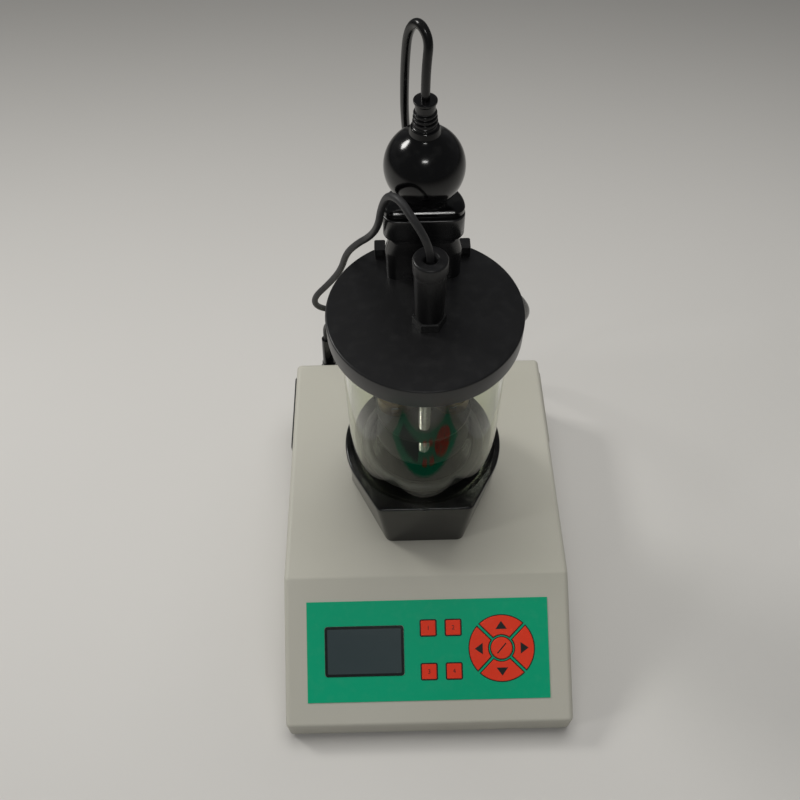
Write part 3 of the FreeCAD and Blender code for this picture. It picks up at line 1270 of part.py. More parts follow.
def make_cables():
    """The heater cable from the plug to the gland, and the sensor cable from the handle to its socket."""
    sleeve_end = number(S(f"{SOCKET_TOP} + shoulder_rise + sleeve_height"))
    plug_y = number(S(SOCKET_Y))
    gland_x = number(S("gland_across"))
    gland_z = number(S("port_height"))
    gland_y = number(S(f"{BACK} + gland_reach"))
    make_cable("heater_cord", [
        (0, plug_y, sleeve_end),
        (0, plug_y, 420),
        (0.5, plug_y + 0.6, 431),
        (1.5, plug_y + 1.9, 441),
        (-1.5, plug_y + 5.8, 446.8),
        (-5, plug_y + 11, 445.8),
        (-8.3, plug_y + 15.5, 438),
        (-9.5, plug_y + 18.6, 424.4),
        (-10.2, plug_y + 22.8, 404),
        (-10.2, plug_y + 28, 380),
        (-8, plug_y + 38, 348),
        (4, plug_y + 46, 300),
        (26, plug_y + 50, 258),
        (54, plug_y + 57, 217),
        (80, plug_y + 68, 180),
        (92, plug_y + 82, 146),
        (91, plug_y + 98, 112),
        (84, gland_y + 17, 80),
        (74, gland_y + 25, 57),
        (gland_x, gland_y + 15, gland_z),
        (gland_x, gland_y, gland_z),
    ], "heater_cable")
    handle_x = number(S("probe_across"))
    handle_y = number(S(PROBE_Y))
    well = number(S(f"{LID_TOP} + handle_height - handle_well"))
    boot_x = number(S("sensor_across"))
    boot_y = number(S(f"{REAR_FACE} + sensor_reach + elbow_length / 2"))
    boot_z = number(S("boot_top"))
    make_cable("sensor_cord", [
        (handle_x, handle_y, well),
        (handle_x, handle_y, well + 9),
        (handle_x - 3.5, handle_y + 0.7, 355),
        (-8, handle_y + 4, 366),
        (-14, handle_y + 12, 371.5),
        (-20.5, handle_y + 22, 366),
        (-24.5, handle_y + 30, 349),
        (-26.5, handle_y + 32, 334),
        (-32, handle_y + 47, 311),
        (-41, handle_y + 53, 299),
        (-49, handle_y + 59.5, 284),
        (-54, handle_y + 66, 262),
        (-64, handle_y + 73, 241),
        (-77, handle_y + 78, 221),
        (-77, handle_y + 83, 205),
        (-66, handle_y + 92, 190),
        (-65, handle_y + 107, 164),
        (-74, handle_y + 123, 136),
        (boot_x, boot_y, 116),
        (boot_x, boot_y, boot_z),
    ], "sensor_cable")


def make_power_parts():
    """Transformer and power board on the base plate."""
    floor = "foot_height + sheet_thick"
    middle = f"{BACK} - core_setback"
    core = box_tool("-case_width / 4", middle, floor, "core_length", "core_width - 2 * core_overlap",
                    "core_height")
    winding = box_tool("-case_width / 4", middle, f"{floor} + winding_lift", "core_length - 2 * winding_inset",
                       "core_width - 2 * core_overlap + 2 * coil_swell", "core_height - 2 * winding_lift")
    fused("transformer", [core, winding])
    middle_x = "(case_width / 4 - supply_inward)"
    middle_y = f"({BACK} - supply_setback)"
    parts = [box_tool(middle_x, middle_y, f"{floor} + post_height", "supply_width", "supply_depth",
                      "board_thick")]
    for side in (-1, 1):
        for end in (-1, 1):
            parts.append(round_tool(f"{middle_x} + {side} * (supply_width / 2 - post_inset)",
                                    f"{middle_y} + {end} * (supply_depth / 2 - post_inset)", floor,
                                    "post_radius", "post_height + board_thick + post_nib"))
    above = f"{floor} + post_height"
    front = f"{middle_y} - tank_setback"
    first = f"{middle_x} + tank_first"
    parts.append(round_tool(first, front, above, "tank_radius", "tank_height"))
    for turn in (1, 2):
        parts.append(round_tool(f"{first} + {turn} * tank_pitch", front, above, "tank_small", "tank_low"))
    parts.append(box_tool(f"{middle_x} + sink_across", f"{middle_y} - sink_front", above, "sink_thick",
                          "sink_length", "sink_height"))
    parts.append(box_tool(f"{middle_x} + relay_across", f"{middle_y} + relay_back", above, "relay_length",
                          "relay_width", "relay_height"))
    fused("power_board", parts)


make_case_cover()
make_base_plate()
make_feet()
make_rear_panel()
make_power_inlet()
make_rocker_switch()
make_rear_fittings()
make_side_vents()
make_overlay()
make_display()
make_keys()
make_key_board()
make_seat()
make_stirrer()
make_beaker()
make_lid()
make_heater_element()
make_rack()
make_probe()
make_heater_socket()
make_plug()
make_power_parts()
make_cables()

doc.recompute()
for thing in doc.Objects:
    if "Invalid" in thing.State or "Error" in thing.State:
        raise RuntimeError(f"{thing.Name} ({thing.Label}) failed: {thing.State}")
for piece in pieces:
    shape = piece.Shape
    if shape.isNull() or not shape.isValid() or shape.Volume <= 0:
        raise RuntimeError(f"{piece.Label} is not a valid solid")
    if len(shape.Solids) != 1:
        raise RuntimeError(f"{piece.Label} has {len(shape.Solids)} solids")
    shape.exportStep(f"parts/{piece.Label}.step")
print(f"{len(pieces)} pieces written")
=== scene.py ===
import json
import math

import bmesh
import bpy
from mathutils import Matrix, Vector


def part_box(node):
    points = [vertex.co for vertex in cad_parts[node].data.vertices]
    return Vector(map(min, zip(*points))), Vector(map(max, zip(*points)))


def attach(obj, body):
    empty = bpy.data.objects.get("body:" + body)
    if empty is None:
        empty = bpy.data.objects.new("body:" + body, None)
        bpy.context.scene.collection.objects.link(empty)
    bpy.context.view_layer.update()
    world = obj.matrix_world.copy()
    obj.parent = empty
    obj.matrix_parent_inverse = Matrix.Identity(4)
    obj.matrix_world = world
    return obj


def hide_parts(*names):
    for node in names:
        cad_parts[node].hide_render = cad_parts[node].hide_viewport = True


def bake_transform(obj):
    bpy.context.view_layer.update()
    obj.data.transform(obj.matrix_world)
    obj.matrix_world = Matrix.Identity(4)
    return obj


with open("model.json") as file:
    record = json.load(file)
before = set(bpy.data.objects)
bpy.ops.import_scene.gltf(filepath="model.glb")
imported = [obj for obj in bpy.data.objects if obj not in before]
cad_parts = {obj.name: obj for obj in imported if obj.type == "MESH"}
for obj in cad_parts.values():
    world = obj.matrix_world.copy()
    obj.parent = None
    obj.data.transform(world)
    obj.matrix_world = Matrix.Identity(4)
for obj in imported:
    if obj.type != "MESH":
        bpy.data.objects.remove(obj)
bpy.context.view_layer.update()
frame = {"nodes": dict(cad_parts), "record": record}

# Softening point tester: grey sheet case with a green keypad, black stirrer seat, glass beaker, and a black
# lid that carries the probe handle, the heater socket and its moulded plug. Metres, in the solids' frame.

nodes = frame["nodes"]
MM = 0.001

# Places read from the frame

case_low, case_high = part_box("case_cover")
beaker_low, beaker_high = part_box("beaker")
lid_low, lid_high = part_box("lid")
handle_low, handle_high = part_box("sensor_handle")
socket_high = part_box("heater_socket")[1]
plug_low, plug_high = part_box("plug_body")
sleeve_low, sleeve_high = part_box("plug_sleeve")
rear_low, rear_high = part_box("rear_panel")
axis = (beaker_low + beaker_high) / 2
handle_axis = (handle_low + handle_high) / 2
plug_axis = (plug_low + plug_high) / 2

# The sloping panel, whose foot is the top of the front lip, and what lies on it. A rise is measured up the
# slope from that foot, and a stand straight out of the panel.

LIP_TOP = 25 * MM
PANEL_RUN = 95.3 * MM
PANEL_ANGLE = math.atan2(case_high.z - LIP_TOP, PANEL_RUN)
PANEL = Matrix.Translation((0, case_low.y, LIP_TOP)) @ Matrix.Rotation(PANEL_ANGLE, 4, "X")
FACE_RISE = 54.9 * MM
KEY_STAND = 1.0 * MM
OVERLAY_THICK = 0.5 * MM
KEY_SIDE = 11 * MM
KEY_COLUMNS = (0.6 * MM, 19.4 * MM)
KEY_ROW_SHIFT = 16.1 * MM
KEY_ROWS = (FACE_RISE + KEY_ROW_SHIFT, FACE_RISE - KEY_ROW_SHIFT)
PAD_ACROSS = 55.5 * MM
PAD_OUTER = 24.3 * MM
PAD_INNER = 10.2 * MM
PAD_GAP = 3.0 * MM
PAD_MIDDLE = 8.0 * MM

# Depth of the cable's well in the probe handle

WELL_DEPTH = 6 * MM


def srgb(red, green, blue):
    """Linear colour from the values that a picture shows."""
    result = []
    for value in (red, green, blue):
        share = value / 255
        result.append(share / 12.92 if share <= 0.04045 else ((share + 0.055) / 1.055) ** 2.4)
    return (*result, 1.0)


# Nodes that the shader groups, the finishes and the geometry trees are built from


def join(tree, value, socket):
    """Links a socket, or sets a plain value, on an input."""
    if isinstance(value, bpy.types.NodeSocket):
        tree.links.new(value, socket)
    else:
        socket.default_value = value


def add_math(tree, operation, *values):
    node = tree.nodes.new("ShaderNodeMath")
    node.operation = operation
    for index, value in enumerate(values):
        join(tree, value, node.inputs[index])
    return node.outputs[0]


def add_range(tree, value, from_low, from_high, to_low=0.0, to_high=1.0, curve="LINEAR"):
    node = tree.nodes.new("ShaderNodeMapRange")
    node.interpolation_type = curve
    for label, setting in (("Value", value), ("From Min", from_low), ("From Max", from_high),
                           ("To Min", to_low), ("To Max", to_high)):
        join(tree, setting, node.inputs[label])
    return node.outputs["Result"]


def add_mix(tree, share, first, second, blend="MIX"):
    """A colour mix. This node has inputs A and B once for each kind of value, so they go by their index."""
    node = tree.nodes.new("ShaderNodeMix")
    node.data_type = "RGBA"
    node.blend_type = blend
    for index, value in ((0, share), (6, first), (7, second)):
        join(tree, value, node.inputs[index])
    return node.outputs[2]


def add_noise(tree, scale, detail):
    """Noise in the piece's own coordinates."""
    place = tree.nodes.new("ShaderNodeTexCoord")
    node = tree.nodes.new("ShaderNodeTexNoise")
    node.inputs["Detail"].default_value = detail
    tree.links.new(place.outputs["Object"], node.inputs["Vector"])
    join(tree, scale, node.inputs["Scale"])
    return node.outputs["Fac"]


def add_group(tree, group, **values):
    node = tree.nodes.new("ShaderNodeGroup")
    node.node_tree = group
    for label, value in values.items():
        join(tree, value, node.inputs[label])
    return node


def add_relief(tree, height, strength, depth, shader):
    """Bump on a shader's normal."""
    node = tree.nodes.new("ShaderNodeBump")
    node.inputs["Strength"].default_value = strength
    node.inputs["Distance"].default_value = depth
    tree.links.new(height, node.inputs["Height"])
    tree.links.new(node.outputs["Normal"], shader.inputs["Normal"])


# Shader groups that several finishes share


def new_group(name, inputs, outputs):
    tree = bpy.data.node_groups.new(name, "ShaderNodeTree")
    for label, kind, value in inputs:
        tree.interface.new_socket(label, in_out="INPUT", socket_type=kind).default_value = value
    for label, kind in outputs:
        tree.interface.new_socket(label, in_out="OUTPUT", socket_type=kind)
    entry = tree.nodes.new("NodeGroupInput")
    leaving = tree.nodes.new("NodeGroupOutput")
    return tree, entry, leaving


def make_mottle_group():
    """Broad, soft change between two colours, as on painted sheet and moulded plastic."""
    tree, entry, leaving = new_group("mottle", [
        ("Main", "NodeSocketColor", (0.5, 0.5, 0.5, 1)), ("Other", "NodeSocketColor", (0.4, 0.4, 0.4, 1)),
        ("Scale", "NodeSocketFloat", 20.0), ("Amount", "NodeSocketFloat", 0.5),
    ], [("Color", "NodeSocketColor"), ("Mask", "NodeSocketFloat")])
    noise = add_noise(tree, entry.outputs["Scale"], 5)
    mask = add_range(tree, noise, 0.35, 0.68)
    share = add_math(tree, "MULTIPLY", mask, entry.outputs["Amount"])
    colour = add_mix(tree, share, entry.outputs["Main"], entry.outputs["Other"])
    tree.links.new(colour, leaving.inputs["Color"])
    tree.links.new(mask, leaving.inputs["Mask"])
    return tree


def make_grain_group():
    """Fine surface grain: a height for the bump and a roughness that varies with it."""
    tree, entry, leaving = new_group("grain", [
        ("Scale", "NodeSocketFloat", 900.0), ("Roughness", "NodeSocketFloat", 0.5),
        ("Spread", "NodeSocketFloat", 0.1),
    ], [("Height", "NodeSocketFloat"), ("Roughness", "NodeSocketFloat")])
    noise = add_noise(tree, entry.outputs["Scale"], 3)
    shift = add_math(tree, "SUBTRACT", noise, 0.5)
    roughness = add_math(tree, "MULTIPLY_ADD", shift, entry.outputs["Spread"], entry.outputs["Roughness"])
    tree.links.new(noise, leaving.inputs["Height"])
    tree.links.new(roughness, leaving.inputs["Roughness"])
    return tree


def make_dust_group():
    """Thin settled dust, thicker on faces that look up."""
    tree, entry, leaving = new_group("dust", [
        ("Color", "NodeSocketColor", (0.1, 0.1, 0.1, 1)), ("Dust", "NodeSocketColor", (0.5, 0.5, 0.48, 1)),
        ("Amount", "NodeSocketFloat", 0.1), ("Scale", "NodeSocketFloat", 160.0),
    ], [("Color", "NodeSocketColor"), ("Mask", "NodeSocketFloat")])
    place = tree.nodes.new("ShaderNodeTexCoord")
    apart = tree.nodes.new("ShaderNodeSeparateXYZ")
    tree.links.new(place.outputs["Normal"], apart.inputs["Vector"])
    upward = add_range(tree, apart.outputs["Z"], 0.2, 1.0)
    specks = add_range(tree, add_noise(tree, entry.outputs["Scale"], 8), 0.48, 0.75)
    share = add_math(tree, "MULTIPLY", add_math(tree, "MULTIPLY", upward, specks), entry.outputs["Amount"])
    colour = add_mix(tree, share, entry.outputs["Color"], entry.outputs["Dust"])
    tree.links.new(colour, leaving.inputs["Color"])
    tree.links.new(share, leaving.inputs["Mask"])
    return tree


MOTTLE = make_mottle_group()
GRAIN = make_grain_group()
DUST = make_dust_group()


# Finishes


def finish_of(name, main, other, mottle_scale, mottle_amount, roughness, grain_scale, bump, spread=0.1,
              bump_depth=0.05 * MM, metallic=0.0, dust=0.0, specular=0.5):
    """A material with mottled colour, dust, and grain in both roughness and bump."""
    material = bpy.data.materials.new(name)
    material.use_nodes = True
    tree = material.node_tree
    shader = tree.nodes["Principled BSDF"]
    shader.inputs["Metallic"].default_value = metallic
    shader.inputs["Specular IOR Level"].default_value = specular
    colour = add_group(tree, MOTTLE, Main=main, Other=other, Scale=mottle_scale, Amount=mottle_amount)
    cover = add_group(tree, DUST, Color=colour.outputs["Color"], Amount=dust)
    grain = add_group(tree, GRAIN, Scale=grain_scale, Roughness=roughness, Spread=spread)
    tree.links.new(cover.outputs["Color"], shader.inputs["Base Color"])
    tree.links.new(grain.outputs["Roughness"], shader.inputs["Roughness"])
    add_relief(tree, grain.outputs["Height"], bump, bump_depth, shader)
    return material


def make_glass():
    """Clear beaker glass with a faint warm tint and slightly uneven walls."""
    material = bpy.data.materials.new("beaker glass")
    material.use_nodes = True
    tree = material.node_tree
    shader = tree.nodes["Principled BSDF"]
    shader.inputs["Transmission Weight"].default_value = 1.0
    shader.inputs["IOR"].default_value = 1.24
    shader.inputs["Roughness"].default_value = 0.0
    colour = add_group(tree, MOTTLE, Main=srgb(246, 248, 240), Other=srgb(236, 240, 226), Scale=12,
                       Amount=1.0)
    tree.links.new(colour.outputs["Color"], shader.inputs["Base Color"])
    waves = add_group(tree, GRAIN, Scale=30)
    add_relief(tree, waves.outputs["Height"], 0.15, 0.3 * MM, shader)
    clear = tree.nodes.new("ShaderNodeBsdfTransparent")
    clear.inputs["Color"].default_value = (0.85, 0.87, 0.84, 1)
    ray = tree.nodes.new("ShaderNodeLightPath")
    either = tree.nodes.new("ShaderNodeMixShader")
    tree.links.new(ray.outputs["Is Shadow Ray"], either.inputs["Fac"])
    tree.links.new(shader.outputs["BSDF"], either.inputs[1])
    tree.links.new(clear.outputs["BSDF"], either.inputs[2])
    tree.links.new(either.outputs["Shader"], tree.nodes["Material Output"].inputs["Surface"])
    return material


# One for each of the solids' materials, and some that are shown in the place of one

MATERIALS = {
    "case_paint": finish_of("case paint", srgb(190, 188, 177), srgb(184, 182, 169),
        mottle_scale=6, mottle_amount=0.5, roughness=0.5, spread=0.1, grain_scale=1400, bump=0.25,
        bump_depth=0.03 * MM, dust=0.04, specular=0.3),
    "panel_black": finish_of("rear panel coat", srgb(38, 38, 40), srgb(30, 30, 32),
        mottle_scale=30, mottle_amount=0.6, roughness=0.55, spread=0.15, grain_scale=1200, bump=0.3,
        dust=0.08),
    "foot_rubber": finish_of("foot rubber", srgb(30, 30, 30), srgb(42, 41, 40),
        mottle_scale=60, mottle_amount=0.7, roughness=0.75, spread=0.2, grain_scale=700, bump=0.4),
    "black_plastic": finish_of("grained plastic", srgb(28, 28, 30), srgb(36, 36, 37),
        mottle_scale=40, mottle_amount=0.5, roughness=0.5, spread=0.15, grain_scale=1500, bump=0.35,
        dust=0.08),
    "gloss_black": finish_of("moulded plug plastic", srgb(5, 5, 6), srgb(8, 8, 9),
        mottle_scale=30, mottle_amount=0.4, roughness=0.15, spread=0.06, grain_scale=300, bump=0.04,
        dust=0.02),
    "lid_black": finish_of("lid plastic", srgb(24, 24, 25), srgb(22, 22, 23),
        mottle_scale=9, mottle_amount=0.3, roughness=0.34, spread=0.05, grain_scale=800, bump=0.08,
        dust=0.01),
    "seat_black": finish_of("seat plastic", srgb(12, 12, 12), srgb(9, 9, 9),
        mottle_scale=16, mottle_amount=0.3, roughness=0.2, spread=0.06, grain_scale=500, bump=0.08,
        dust=0.02),
    "nickel": finish_of("nickel plate", srgb(205, 203, 198), srgb(180, 178, 172),
        mottle_scale=40, mottle_amount=0.6, roughness=0.22, spread=0.1, grain_scale=600, bump=0.1,
        metallic=1.0),
    "steel": finish_of("stainless steel", srgb(214, 212, 206), srgb(176, 174, 168),
        mottle_scale=60, mottle_amount=0.7, roughness=0.25, spread=0.15, grain_scale=900, bump=0.15,
        metallic=1.0),
    "dark_steel": finish_of("blackened steel", srgb(40, 40, 42), srgb(70, 70, 72),
        mottle_scale=80, mottle_amount=0.6, roughness=0.3, spread=0.15, grain_scale=700, bump=0.15,
        metallic=0.7),
    "aluminium": finish_of("turned aluminium", srgb(200, 202, 205), srgb(170, 172, 176),
        mottle_scale=50, mottle_amount=0.6, roughness=0.35, spread=0.15, grain_scale=900, bump=0.2,
        metallic=1.0),
    "brass": finish_of("turned brass", srgb(120, 104, 70), srgb(86, 74, 48),
        mottle_scale=60, mottle_amount=0.8, roughness=0.4, spread=0.15, grain_scale=700, bump=0.2,
        metallic=1.0),
    "white_plastic": finish_of("stir bar coating", srgb(225, 225, 222), srgb(212, 212, 206),
        mottle_scale=60, mottle_amount=0.5, roughness=0.3, spread=0.1, grain_scale=500, bump=0.1),
    "green_film": finish_of("green keypad film", srgb(14, 166, 122), srgb(10, 158, 115),
        mottle_scale=10, mottle_amount=0.5, roughness=0.42, spread=0.08, grain_scale=2200, bump=0.2,
        bump_depth=0.03 * MM, dust=0.02, specular=0.15),
    "window_black": finish_of("window border", srgb(22, 26, 26), srgb(18, 22, 22),
        mottle_scale=20, mottle_amount=0.5, roughness=0.2, spread=0.08, grain_scale=300, bump=0.05),
    "display": finish_of("display glass", srgb(58, 70, 72), srgb(52, 64, 67),
        mottle_scale=12, mottle_amount=0.8, roughness=0.18, spread=0.05, grain_scale=200, bump=0.03),
    "board": finish_of("circuit board", srgb(20, 84, 52), srgb(14, 66, 42),
        mottle_scale=200, mottle_amount=0.8, roughness=0.45, spread=0.2, grain_scale=900, bump=0.3),
    "key_orange": finish_of("orange key film", srgb(232, 66, 42), srgb(222, 56, 34),
        mottle_scale=20, mottle_amount=0.6, roughness=0.45, spread=0.08, grain_scale=2200, bump=0.2,
        bump_depth=0.03 * MM, dust=0.02, specular=0.15),
    "cable_black": finish_of("cable rubber", srgb(9, 9, 10), srgb(13, 13, 14),
        mottle_scale=40, mottle_amount=0.5, roughness=0.24, spread=0.1, grain_scale=900, bump=0.1,
        dust=0.01),
    "cable_grey": finish_of("sensor cable rubber", srgb(44, 44, 45), srgb(36, 36, 37),
        mottle_scale=40, mottle_amount=0.5, roughness=0.5, spread=0.1, grain_scale=900, bump=0.1,
        dust=0.02),
    "socket_black": finish_of("socket plastic", srgb(18, 18, 19), srgb(14, 14, 15),
        mottle_scale=16, mottle_amount=0.4, roughness=0.26, spread=0.06, grain_scale=600, bump=0.06,
        dust=0.01, specular=0.9),
    "nut_black": finish_of("black nut", srgb(60, 60, 60), srgb(36, 36, 37),
        mottle_scale=90, mottle_amount=0.6, roughness=0.22, spread=0.08, grain_scale=900, bump=0.08,
        metallic=0.6),
    "plate_grey": finish_of("rack plate", srgb(38, 38, 38), srgb(28, 28, 29),
        mottle_scale=70, mottle_amount=0.7, roughness=0.55, spread=0.15, grain_scale=900, bump=0.2,
        metallic=0.3),
    "heater_grey": finish_of("heater sheath", srgb(44, 44, 44), srgb(32, 32, 33),
        mottle_scale=90, mottle_amount=0.7, roughness=0.5, spread=0.15, grain_scale=900, bump=0.2,
        metallic=0.4),
    "vent_pale": finish_of("painted vent", srgb(168, 166, 154), srgb(160, 158, 146),
        mottle_scale=20, mottle_amount=0.5, roughness=0.5, spread=0.1, grain_scale=1400, bump=0.25,
        bump_depth=0.03 * MM),
    "print_black": finish_of("black print", srgb(14, 18, 16), srgb(20, 24, 22),
        mottle_scale=60, mottle_amount=0.5, roughness=0.45, spread=0.1, grain_scale=900, bump=0.1),
    "glass": make_glass(),
}


def paint(thing, material):
    thing.data.materials.clear()
    thing.data.materials.append(MATERIALS[material])


# Ways to make a piece


def add_piece(name, mesh, material, body, smooth=35, finish=None):
    """Puts a finished mesh in the scene, shaded smooth below an angle, and rides it on its body.

    A finish is shown in the material's place."""
    for face in mesh.polygons:
        face.use_smooth = True
    mesh.set_sharp_from_angle(angle=math.radians(smooth))
    thing = bpy.data.objects.new(name, mesh)
    bpy.context.scene.collection.objects.link(thing)
    paint(thing, finish or material)
    if body:
        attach(thing, body)
    return thing


def mesh_from(build, name):
    """A mesh made by a function that fills a bmesh, with outward normals."""
    shape = bmesh.new()
    build(shape)
    bmesh.ops.remove_doubles(shape, verts=shape.verts, dist=0.002 * MM)
    bmesh.ops.recalc_face_normals(shape, faces=shape.faces)
    mesh = bpy.data.meshes.new(name)
    shape.to_mesh(mesh)
    shape.free()
    return mesh


def round_profile(corners, steps):
    """A closed profile of (radius, height, rounding): each rounded corner becomes a short curve."""
    points = []
    count = len(corners)
    for index, corner in enumerate(corners):
        here = Vector(corner[:2])
        rounding = corner[2] if len(corner) > 2 else 0
        before = Vector(corners[index - 1][:2]) - here
        after = Vector(corners[(index + 1) % count][:2]) - here
        if rounding <= 0 or before.length < 1e-9 or after.length < 1e-9:
            points.append(here)
            continue
        half = before.angle(after) / 2
        reach = min(rounding / math.tan(half), 0.49 * before.length, 0.49 * after.length)
        first = here + before.normalized() * reach
        last = here + after.normalized() * reach
        for step in range(steps + 1):
            share = step / steps
            points.append(first.lerp(here, share).lerp(here.lerp(last, share), share))
    return points


def lathe(name, corners, centre, material, body, around, steps=5, smooth=40):
    """A turned piece about an upright axis. Corners are (radius, height, rounding) in millimetres."""
    profile = round_profile([tuple(value * MM for value in corner) for corner in corners], steps)

    def build(shape):
        rings = []
        for point in profile:
            if point.x < 1e-7:
                rings.append([shape.verts.new((centre.x, centre.y, centre.z + point.y))])
                continue
            ring = []
            for step in range(around):
                angle = math.tau * step / around
                ring.append(shape.verts.new((centre.x + point.x * math.cos(angle),
                                             centre.y + point.x * math.sin(angle), centre.z + point.y)))
            rings.append(ring)
        for lower, upper in zip(rings, rings[1:] + rings[:1]):
            if len(lower) == 1 and len(upper) == 1:
                continue
            for step in range(around):
                follow = (step + 1) % around
                if len(lower) == 1:
                    shape.faces.new((lower[0], upper[follow], upper[step]))
                elif len(upper) == 1:
                    shape.faces.new((lower[step], lower[follow], upper[0]))
                else:
                    shape.faces.new((lower[step], lower[follow], upper[follow], upper[step]))

    return add_piece(name, mesh_from(build, name), material, body, smooth)


def prism(outline, foot, top, matrix):
    """A build function for an upright prism of a flat outline, moved by a matrix."""
    def build(shape):
        low = [shape.verts.new(matrix @ Vector((x, y, foot))) for x, y in outline]
        high = [shape.verts.new(matrix @ Vector((x, y, top))) for x, y in outline]
        shape.faces.new(list(reversed(low)))
        shape.faces.new(high)
        count = len(outline)
        for index in range(count):
            follow = (index + 1) % count
            shape.faces.new((low[index], low[follow], high[follow], high[index]))
    return build


def rounded_rectangle(width, height, corner, steps=6):
    """Outline of a rectangle about the origin with rounded corners."""
    points = []
    for quarter, (x, y) in enumerate(((1, 1), (-1, 1), (-1, -1), (1, -1))):
        for step in range(steps + 1):
            angle = math.pi / 2 * (quarter + step / steps)
            points.append((x * (width / 2 - corner) + corner * math.cos(angle),
                           y * (height / 2 - corner) + corner * math.sin(angle)))
    return points


def frame_strip(outline, inner, foot, top, matrix):
    """A build function for a flat frame between two outlines of the same number of points."""
    def build(shape):
        rings = []
        for points, level in ((outline, foot), (outline, top), (inner, top), (inner, foot)):
            rings.append([shape.verts.new(matrix @ Vector((x, y, level))) for x, y in points])
        count = len(outline)
        for lower, upper in zip(rings, rings[1:] + rings[:1]):
            for index in range(count):
                follow = (index + 1) % count
                shape.faces.new((lower[index], lower[follow], upper[follow], upper[index]))
    return build


# Floor, light and camera


def make_stage():
    """A pale floor with painted shade: its colour darkens towards the far end, in place of light falling
    off there.
    """
    floor = bpy.data.meshes.new("floor")
    reach = 4.0
    floor.from_pydata([(-reach, -reach, 0), (reach, -reach, 0), (reach, reach, 0), (-reach, reach, 0)], [],
                      [(0, 1, 2, 3)])
    thing = bpy.data.objects.new("floor", floor)
    bpy.context.scene.collection.objects.link(thing)
    paper = finish_of("pale floor", srgb(212, 210, 206), srgb(208, 206, 202), mottle_scale=3,
                      mottle_amount=0.4, roughness=0.6, grain_scale=300, bump=0.05)
    tree = paper.node_tree
    place = tree.nodes.new("ShaderNodeTexCoord")
    apart = tree.nodes.new("ShaderNodeSeparateXYZ")
    tree.links.new(place.outputs["Object"], apart.inputs["Vector"])
    # Painted shade: the floor's colour is multiplied down with distance, standing in for the light falling
    # off towards the far end.
    painted_falloff = add_range(tree, apart.outputs["Y"], 0.1, 1.1, 1.0, 0.43, "SMOOTHSTEP")
    base_colour = tree.nodes["Principled BSDF"].inputs["Base Color"]
    painted_shade_colour = add_mix(tree, 1.0, base_colour.links[0].from_socket, painted_falloff, "MULTIPLY")
    tree.links.new(painted_shade_colour, base_colour)
    floor.materials.append(paper)


def area_light(name, spot, aim, size, power, colour=(1, 1, 1), mirrored=True):
    """A rectangular lamp. One that isn't mirrored lights the pieces but leaves no bright spot on them."""
    light = bpy.data.lights.new(name, "AREA")
    light.shape = "RECTANGLE"
    light.size, light.size_y = size
    light.energy = power
    light.color = colour
    thing = bpy.data.objects.new(name, light)
    thing.location = spot
    thing.rotation_euler = (Vector(aim) - Vector(spot)).to_track_quat("-Z", "Y").to_euler()
    thing.visible_glossy = mirrored
    bpy.context.scene.collection.objects.link(thing)


def make_lights():
    """Four lamps and a dim even glow, with a plain grey wall where the camera sees past the floor."""
    area_light("fill", (0.1, 0.4, 1.6), (0.05, 0, 0), (1.2, 1.0), 15, (1.0, 0.99, 0.97), mirrored=False)
    area_light("lamp", (-1.3, 0.72, 1.45), (0, 0.05, 0.2), (0.4, 0.4), 10, (1.0, 0.985, 0.955))
    area_light("side", (-1.6, -0.55, 0.85), (0, 0, 0.2), (0.2, 0.4), 4, mirrored=False)
    area_light("front", (0.0, -0.95, 1.53), (0, 0, 0.2), (0.34, 0.07), 2.4, (1.0, 0.99, 0.97))
    world = bpy.data.worlds.new("room")
    world.use_nodes = True
    tree = world.node_tree
    glow = tree.nodes["Background"]
    glow.inputs["Color"].default_value = (0.86, 0.87, 0.88, 1)
    glow.inputs["Strength"].default_value = 0.11
    wall = tree.nodes.new("ShaderNodeBackground")
    wall.inputs["Color"].default_value = (0.42, 0.42, 0.41, 1)
    ray = tree.nodes.new("ShaderNodeLightPath")
    either = tree.nodes.new("ShaderNodeMixShader")
    tree.links.new(ray.outputs["Is Camera Ray"], either.inputs["Fac"])
    tree.links.new(glow.outputs["Background"], either.inputs[1])
    tree.links.new(wall.outputs["Background"], either.inputs[2])
    tree.links.new(either.outputs["Shader"], tree.nodes["World Output"].inputs["Surface"])
    bpy.context.scene.world = world
    bpy.context.scene.view_settings.view_transform = "Standard"


def make_camera():
    """The photograph's view: high in front of the lid, looking down and back."""
    camera = bpy.data.cameras.new("camera")
    camera.sensor_width = 36
    camera.lens = 36.76
    camera.clip_start = 0.01
    spot = Vector((-16.5, -299.25, 667.6)) * MM
    tilt = 0.595
    roll = -0.024
    thing = bpy.data.objects.new("camera", camera)
    turn = Matrix.Rotation(tilt, 4, "X") @ Matrix.Rotation(roll, 4, "Z")
    thing.matrix_world = Matrix.Translation(spot) @ turn
    bpy.context.scene.collection.objects.link(thing)
    bpy.context.scene.camera = thing


# Cables


def spline_points(name, route):
    """The smooth line of a cable: a NURBS spline with the route as its control points, read as points."""
    curve = bpy.data.curves.new(name, "CURVE")
    curve.dimensions = "3D"
    spline = curve.splines.new("NURBS")
    spline.points.add(len(route) - 1)
    for point, spot in zip(spline.points, route):
        point.co = (spot[0] * MM, spot[1] * MM, spot[2] * MM, 1)
    spline.order_u = 3
    spline.use_endpoint_u = True
    spline.resolution_u = 14
    holder = bpy.data.objects.new(name + "_line", curve)
    bpy.context.scene.collection.objects.link(holder)
    graph = bpy.context.evaluated_depsgraph_get()
    line = bpy.data.meshes.new_from_object(holder.evaluated_get(graph))
    points = [vertex.co.copy() for vertex in line.vertices]
    bpy.data.objects.remove(holder)
    bpy.data.meshes.remove(line)
    return points


